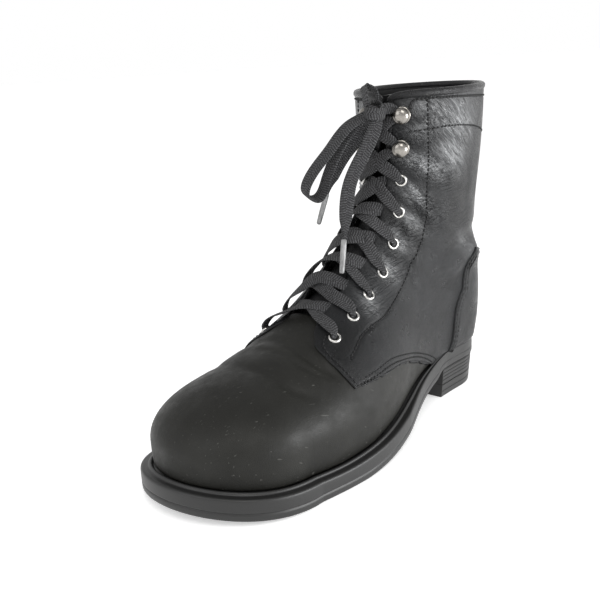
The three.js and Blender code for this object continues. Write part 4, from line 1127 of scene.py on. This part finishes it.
def cutLift(points):
    # straight grooves across the underside of the heel
    x, y, z = points[..., 0], points[..., 1], points[..., 2]
    depth = np.zeros_like(z)
    for place in (12, 24, 36, 48):
        groove = np.clip((tread["half"] - np.abs(x - place)) / tread["slope"], 0, 1)
        depth = np.maximum(depth, groove * (np.abs(y) < 26))
    points[..., 2] = z + np.where(z < 0.01, depth * sole["tread"], 0)
    return points


def addHeel():
    count = 90
    shares = mix(1 - np.cos(np.linspace(0, np.pi / 2, count)), np.linspace(0, 1, count), 0.4)
    top = last["seat"] - 3 * sole["gap"] - sole["welt"] - sole["outsole"]
    block = platePiece("heelBlock", 0, sole["breast"], shares,
                       lambda x: heelLevels(sole["lift"] + 0.2, top, sole["heelLines"]), False)
    lift = platePiece("heelTopLift", 0, sole["breast"], shares,
                      lambda x: heelLevels(0, sole["lift"], sole["liftLines"]), False, cutLift)
    return block, lift


def addInsole():
    shares = (1 - np.cos(np.linspace(0, np.pi, 90))) / 2

    def profile(x):
        low = float(soleTop(x))
        rows = [(-4, low + 3, k) for k in (0, 0.35, 0.7, 0.95, 1)]
        return rows + [(-3.5, low + 2.5, 1), (-3.5, low, 1), (-3.5, low, 0)]
    return platePiece("insoleBoard", 0, last["length"], shares, profile)


# stitches: short rounded pegs laid along a seam
stitches = {
    "seam": {"pitch": 2.9, "length": 2.1, "radius": 0.5, "sink": 0.05},
    "collar": {"pitch": 2.4, "length": 2.5, "radius": 0.75, "sink": 0.2},
    "counter": {"pitch": 3.2, "length": 2.6, "radius": 0.55, "sink": 0.25},
}


def stitchesAlong(kind, lines):
    # lines are (points (u, t), side, out, offset across the line); all pegs of a kind become one mesh
    pitch, length, radius, sink = (stitches[kind][k] for k in ("pitch", "length", "radius", "sink"))
    name = kind + "Stitches"
    places, directions, normals = [], [], []
    for points, side, out, offset in lines:
        at = lineOnLast(points, side)
        count = int(at.length / pitch)
        before, ut, after = (at((np.arange(count) + part) / count) for part in (0, 0.5, 1))
        n = lastNormal(ut[:, 0], np.clip(ut[:, 1], 0.02, 0.985), side)
        d = unit(onLast(*after.T, side) - onLast(*before.T, side))
        spots = onLast(*ut.T, side)
        lift = creaseHeight(spots, side)
        places.append(spots + n * (out - sink + lift)[:, None] + np.cross(n, d) * offset)
        directions.append(d)
        normals.append(n)
    places, directions, normals = (np.concatenate(part) for part in (places, directions, normals))
    sides = np.cross(normals, directions)
    ringsAt = np.array([-0.5, -0.47, -0.3, 0.0, 0.3, 0.47, 0.5]) * length
    ringRadius = np.array([0.0, 0.62, 0.95, 1.0, 0.95, 0.62, 0.0]) * radius
    corners = 6
    angle = np.linspace(0, 2 * np.pi, corners + 1)[:-1]
    arch = -0.22 * (ringsAt / length * 2) ** 2
    up = arch[None, :, None] + ringRadius[None, :, None] * np.sin(angle)[None, None]
    wide = ringRadius[None, :, None] * np.cos(angle)[None, None]
    verts = (places[:, None, None] + directions[:, None, None] * ringsAt[None, :, None, None]
             + normals[:, None, None] * up[..., None] + sides[:, None, None] * wide[..., None])
    faces = []
    for base in range(0, len(places) * len(ringsAt) * corners, len(ringsAt) * corners):
        for ring in range(base, base + (len(ringsAt) - 1) * corners, corners):
            for k in range(corners):
                a, b = ring + k, ring + (k + 1) % corners
                faces.append((a, b, b + corners, a + corners))
    mesh = bpy.data.meshes.new(name)
    mesh.from_pydata(toScene(verts.reshape(-1, 3)).tolist(), [], faces)
    obj = bpy.data.objects.new(name, mesh)
    bpy.context.collection.objects.link(obj)
    editMesh(obj, weld=1e-6, outwards=True)
    bpy.ops.object.shade_smooth()
    return obj


# materials, all procedural

def newMaterial(name, base, roughness, metallic=0.0):
    material = bpy.data.materials.new(name)
    material.use_nodes = True
    tree = material.node_tree
    shader = tree.nodes["Principled BSDF"]
    shader.inputs["Base Color"].default_value = (*base, 1)
    shader.inputs["Roughness"].default_value = roughness
    shader.inputs["Metallic"].default_value = metallic
    return material, tree, shader


def nodeOf(tree, kind, **values):
    node = tree.nodes.new(kind)
    for key, value in values.items():
        if key in node.inputs:
            node.inputs[key].default_value = value
        else:
            setattr(node, key, value)
    return node


def objectPoint(tree, scale=(1000, 1000, 1000), turn=(0, 0, 0)):
    coordinate = tree.nodes.new("ShaderNodeTexCoord")
    mapping = tree.nodes.new("ShaderNodeMapping")
    mapping.inputs["Scale"].default_value = scale
    mapping.inputs["Rotation"].default_value = turn
    tree.links.new(coordinate.outputs["Object"], mapping.inputs["Vector"])
    return mapping.outputs["Vector"]


def rampOf(tree, value, stops):
    # stops are (place, colour or one number for a grey)
    ramp = tree.nodes.new("ShaderNodeValToRGB")
    while len(ramp.color_ramp.elements) < len(stops):
        ramp.color_ramp.elements.new(0.5)
    for element, (place, colour) in zip(ramp.color_ramp.elements, stops):
        element.position = place
        element.color = (*(colour if isinstance(colour, tuple) else (colour,) * 3), 1)
    tree.links.new(value, ramp.inputs["Fac"])
    return ramp.outputs["Color"]


def mathOf(tree, operation, a, b):
    node = tree.nodes.new("ShaderNodeMath")
    node.operation = operation
    for socket, value in zip(node.inputs, (a, b)):
        if isinstance(value, (int, float)):
            socket.default_value = value
        else:
            tree.links.new(value, socket)
    return node.outputs[0]


def times(tree, a, b):
    return mathOf(tree, "MULTIPLY", a, b)


def plus(tree, a, b):
    return mathOf(tree, "ADD", a, b)


def noiseOf(tree, point, **values):
    noise = nodeOf(tree, "ShaderNodeTexNoise", **values)
    tree.links.new(point, noise.inputs["Vector"])
    return noise.outputs["Fac"]


def bumpOf(tree, shader, height, distance=0.001):
    bump = nodeOf(tree, "ShaderNodeBump", Strength=1.0, Distance=distance)
    tree.links.new(height, bump.inputs["Height"])
    tree.links.new(bump.outputs["Normal"], shader.inputs["Normal"])


def paintedOf(tree, name):
    # an amount painted on the piece
    painted = tree.nodes.new("ShaderNodeAttribute")
    painted.attribute_name = name
    return painted.outputs["Fac"]


def tintBase(tree, shader, tint, factor):
    # mixes one more colour over the base colour
    blend = tree.nodes.new("ShaderNodeMix")
    blend.data_type = "RGBA"
    ends = [socket for socket in blend.inputs if socket.type == "RGBA"]
    ends[1].default_value = (*tint, 1)
    tree.links.new(shader.inputs["Base Color"].links[0].from_socket, ends[0])
    tree.links.new(factor, blend.inputs["Factor"])
    result = [socket for socket in blend.outputs if socket.type == "RGBA"][0]
    tree.links.new(result, shader.inputs["Base Color"])


def turnedPoint(tree, turn, scale):
    # object coordinates in millimetres, turned first and stretched after
    turned = objectPoint(tree, (1000, 1000, 1000), turn)
    stretch = tree.nodes.new("ShaderNodeMapping")
    stretch.inputs["Scale"].default_value = scale
    tree.links.new(turned, stretch.inputs["Vector"])
    return stretch.outputs["Vector"]


def wrinkleLines(tree, turn, scale, mask, depth):
    # creased lines along one direction, where the piece's own painted mask allows them
    folds = noiseOf(tree, turnedPoint(tree, turn, scale), Scale=1.0, Detail=2.5, Roughness=0.55, Distortion=0.7)
    offset = mathOf(tree, "ABSOLUTE", mathOf(tree, "SUBTRACT", folds, 0.5), 0.0)
    lines = rampOf(tree, offset, [(0.0, 0), (0.05, 0.75), (0.2, 1)])
    return times(tree, times(tree, lines, paintedOf(tree, mask)), depth)


def leatherMaterial(name, dark, light, roughness, grain, wrinkle, specular):
    material, tree, shader = newMaterial(name, dark, roughness)
    point = objectPoint(tree)
    cells = nodeOf(tree, "ShaderNodeTexVoronoi", Scale=1.15, Randomness=1.0)
    cells.feature = "DISTANCE_TO_EDGE"
    tree.links.new(point, cells.inputs["Vector"])
    fine = noiseOf(tree, point, Scale=1.9, Detail=4.0)
    broad = noiseOf(tree, point, Scale=0.035, Detail=3.0)
    tree.links.new(rampOf(tree, broad, [(0.35, dark), (0.7, light)]), shader.inputs["Base Color"])
    edges = rampOf(tree, cells.outputs["Distance"], [(0.0, 0), (0.2, 1)])
    height = times(tree, edges, grain)
    height = plus(tree, height, times(tree, fine, grain * 1.3))
    height = plus(tree, height, times(tree, broad, 0.5))
    if wrinkle:
        lean = wrinkleLines(tree, (0, 0.75, 0), (0.045, 0.3, 0.46), "lean", wrinkle)
        flat = wrinkleLines(tree, (0, -0.12, 0), (0.045, 0.3, 0.4), "flat", wrinkle * 1.3)
        height = plus(tree, height, plus(tree, lean, flat))
    bumpOf(tree, shader, height)
    patchy = noiseOf(tree, point, Scale=0.09, Detail=5.0, Roughness=0.6)
    glossAndPaintedSheen = rampOf(tree, patchy, [(0.35, roughness - 0.08), (0.68, roughness + 0.1)])
    tree.links.new(glossAndPaintedSheen, shader.inputs["Roughness"])
    shader.inputs["Specular IOR Level"].default_value = specular
    if wrinkle:  # painted sheen: streaks of lighter, silvery base colour, with more specular, where the mask is painted
        streaks = noiseOf(tree, turnedPoint(tree, (0, 0.7, 0), (0.09, 0.3, 0.8)),
                          Scale=1.0, Detail=5.0, Roughness=0.7, Distortion=0.5)
        broken = rampOf(tree, streaks, [(0.36, 0.12), (0.62, 1)])
        amount = times(tree, broken, paintedOf(tree, "glossAndPaintedSheen"))
        tree.links.new(plus(tree, times(tree, amount, 2.0), specular),
                       shader.inputs["Specular IOR Level"])
        # painted highlight: the base colour turns silvery grey in these streaks, standing in for sheen from the light
        tintBase(tree, shader, (0.12, 0.125, 0.13), times(tree, amount, 0.95))
    else:  # a few thin light scratches
        lines = noiseOf(tree, turnedPoint(tree, (0.2, 0.3, 0.35), (0.03, 1.1, 0.5)),
                        Scale=1.0, Detail=1.0, Distortion=0.3)
        marks = rampOf(tree, lines, [(0.725, 0), (0.75, 1)])
        tintBase(tree, shader, (0.06, 0.06, 0.055), times(tree, marks, 0.8))
    return material


def weaveMaterial(name, dark, light):
    # slanting ribs that mirror at the middle of the lace, from the strip's own UV in millimetres
    material, tree, shader = newMaterial(name, dark, 0.8)
    uv = tree.nodes.new("ShaderNodeUVMap")
    split = tree.nodes.new("ShaderNodeSeparateXYZ")
    tree.links.new(uv.outputs["UV"], split.inputs["Vector"])
    middle = mathOf(tree, "ABSOLUTE", mathOf(tree, "SUBTRACT", split.outputs["X"], 4.0), 0.0)
    slant = plus(tree, split.outputs["Y"], times(tree, middle, 0.9))
    ribs = mathOf(tree, "SINE", times(tree, slant, 4.0), 0.0)
    yarns = mathOf(tree, "SINE", times(tree, split.outputs["X"], 4.7), 0.0)
    weave = times(tree, ribs, yarns)
    share = plus(tree, times(tree, weave, 0.5), 0.5)
    mixed = times(tree, share, noiseOf(tree, objectPoint(tree), Scale=1.3, Detail=2.0))
    tree.links.new(rampOf(tree, mixed, [(0.14, dark), (0.55, light)]), shader.inputs["Base Color"])
    bumpOf(tree, shader, share, 0.0006)
    return material


def plainMaterial(name, base, roughness, metallic=0.0, grain=0.0, scale=1.0):
    material, tree, shader = newMaterial(name, base, roughness, metallic)
    noise = noiseOf(tree, objectPoint(tree), Scale=scale, Detail=4.0)
    lighter = tuple(min(1.0, c * 1.25) for c in base)
    tree.links.new(rampOf(tree, noise, [(0.35, base), (0.7, lighter)]), shader.inputs["Base Color"])
    if grain:
        bumpOf(tree, shader, times(tree, noise, grain))
    return material


def filmMaterial(name, base, roughness):
    # clear plastic round the laces' tips
    material, tree, shader = newMaterial(name, base, roughness)
    shader.inputs["Transmission Weight"].default_value = 0.25
    streaks = noiseOf(tree, objectPoint(tree, (400, 400, 90)), Scale=1.0, Detail=2.0)
    tree.links.new(rampOf(tree, streaks, [(0.35, 0.2), (0.7, 0.42)]),
                   shader.inputs["Base Color"])
    return material


# leather: dark and light, roughness, grain, wrinkles, specular
vampSkin = leatherMaterial(
    "vampSkin", (0.0105, 0.0104, 0.0090), (0.0165, 0.0163, 0.0142), 0.48, 0.03, 0.0, 0.22)
shaftSkin = leatherMaterial(
    "shaftSkin", (0.005, 0.0052, 0.0056), (0.010, 0.0105, 0.0115), 0.34, 0.085, 0.75, 0.24)
collarSkin = leatherMaterial("collarSkin", (0.005, 0.005, 0.0055), (0.009, 0.009, 0.01), 0.3, 0.09, 0.0, 0.32)
tongueSkin = leatherMaterial("tongueSkin", (0.004, 0.004, 0.0045), (0.008, 0.008, 0.0085), 0.5, 0.09, 0.0, 0.4)
# the rest: base, roughness, metallic, grain, scale
liningCloth = plainMaterial("liningCloth", (0.006, 0.006, 0.0065), 0.85, 0.0, 0.1, 2.4)
rubber = plainMaterial("soleRubber", (0.010, 0.010, 0.0098), 0.44, 0.0, 0.05, 1.6)
heelStack = plainMaterial("heelStack", (0.010, 0.010, 0.010), 0.48, 0.0, 0.06, 1.2)
nickel = plainMaterial("nickel", (0.52, 0.51, 0.49), 0.22, 1.0, 0.01, 0.7)
hookMetal = plainMaterial("hookMetal", (0.26, 0.245, 0.225), 0.24, 1.0, 0.015, 0.9)
thread = plainMaterial("stitchThread", (0.003, 0.003, 0.0032), 0.75, 0.0, 0.0, 3.0)
laceWeave = weaveMaterial("laceWeave", (0.003, 0.003, 0.0034), (0.11, 0.11, 0.115))
tipFilm = filmMaterial("tipFilm", (0.30, 0.30, 0.30), 0.28)
print("stage: materials")

# the boot, cords first

for which, label, loopNode, endNode, tipNode in (
        ("short", "bowShort", "lace_loop_short", "lace_end_short", "lace_tip_short"),
        ("long", "bowLong", "lace_loop_long", "lace_end_long", "lace_tip_long")):
    strip, tip, line, length = addBow(which, label)
    finishPiece(strip, laceWeave, "lace_cloth", loopNode, endNode)
    finishPiece(tip, tipFilm, "aglet", tipNode)
    print("cord", label, round(length, 1), "mm")
finishPiece(addKnot(), laceWeave, "lace_cloth", "lace_knot")
finishPiece(addLaceRuns(), laceWeave, "lace_cloth", "lace_crossings")
print("stage: laces")

for piece, material, slotName, node in (
        (addVamp(), vampSkin, "upper_leather", "upper"),
        (addQuarter("quarterOuter", 1), shaftSkin, "upper_leather", "upper"),
        (addQuarter("quarterInner", -1), shaftSkin, "upper_leather", "upper"),
        (addCounter(), shaftSkin, "upper_leather", "heel_counter"),
        (addLining(), liningCloth, "lining", "upper"),
        (addCollar(), collarSkin, "upper_leather", "collar_binding"),
        (addTongue(), tongueSkin, "upper_leather", "tongue")):
    finishPiece(piece, material, slotName, node)
print("stage: upper")

finishPiece(addSole(), rubber, "sole_rubber", "welt", "outsole")
block, lift = addHeel()
smoothAngle(block, 30)
smoothAngle(lift, 30)
finishPiece(block, heelStack, "sole_rubber", "heel_block")
finishPiece(lift, rubber, "sole_rubber", "heel_top_lift")
board = addInsole()
smoothAngle(board, 40)
finishPiece(board, liningCloth, "lining", "insole")
print("stage: sole")

rings, ringNodes = addEyelets()
finishPiece(rings, nickel, "nickel", *ringNodes)
hooks, hookNodes = addHooks()
finishPiece(hooks, hookMetal, "nickel", *hookNodes)

seamRows, collarRows, counterRows = [], [], []
for side in (1, -1):
    for name in ("facing", "band", "foot", "foot2", "front"):
        seamRows.append((seams[name][0], side, thickness["quarter"], 0))
    collarRows.append((seams["collar"][0], side, thickness["quarter"], 0))
    onCounter = thickness["quarter"] + thickness["counter"]
    counterRows += [(panels["counter"], side, onCounter, -inset * side) for inset in counter["rows"]]
for kind, lines in (("seam", seamRows), ("collar", collarRows), ("counter", counterRows)):
    finishPiece(stitchesAlong(kind, lines), thread, "upper_leather")
print("stage: fittings and stitches")

# floor and light

studio = {
    "floor": (0.97, 0.97, 0.97), "glow": 0.42, "low": 1.0, "high": 0.6, "aim": (0, 0, 0.09),
    # name: place, width, depth of a rectangle or none, power, tone
    "lights": {
        "keyLight": ((0.7, 0.8, 1.2), 0.7, None, 6, (1, 0.99, 0.97)),
        "sideLight": ((-0.27, 0.78, 0.15), 0.62, 0.26, 6.5, (0.98, 0.99, 1)),
        "fillLight": ((1.4, -0.3, 0.9), 1.0, None, 5, (0.97, 0.98, 1)),
    },
}


def addStudio():
    deselectAll()
    bpy.ops.mesh.primitive_plane_add(size=60, location=(0, 0, 0))
    floor = bpy.context.object
    floor.name = "paleFloor"
    white, tree, shader = newMaterial("paleFloor", studio["floor"], 0.8)
    shader.inputs["Specular IOR Level"].default_value = 0.1
    shader.inputs["Emission Color"].default_value = (1, 1, 1, 1)
    shader.inputs["Emission Strength"].default_value = studio["glow"]
    floor.data.materials.append(white)
    for name, (place, size, depth, power, tone) in studio["lights"].items():
        bpy.ops.object.light_add(type="AREA", location=place)
        lamp = bpy.context.object
        lamp.name = name
        lamp.data.size = size
        if depth:
            lamp.data.shape = "RECTANGLE"
            lamp.data.size_y = depth
        lamp.data.energy = power
        lamp.data.color = tone
        aim = Vector(studio["aim"]) - Vector(place)
        lamp.rotation_euler = aim.to_track_quat("-Z", "Y").to_euler()
    world = bpy.data.worlds.new("studioWorld")
    world.use_nodes = True
    tree = world.node_tree
    split = tree.nodes.new("ShaderNodeSeparateXYZ")
    tree.links.new(tree.nodes.new("ShaderNodeTexCoord").outputs["Generated"], split.inputs["Vector"])
    sky = rampOf(tree, split.outputs["Z"], [(0.12, studio["low"]), (0.5, studio["high"])])
    tree.links.new(sky, tree.nodes["Background"].inputs["Color"])
    bpy.context.scene.world = world


addStudio()
bpy.context.scene.view_settings.view_transform = "Standard"
print("stage: studio")
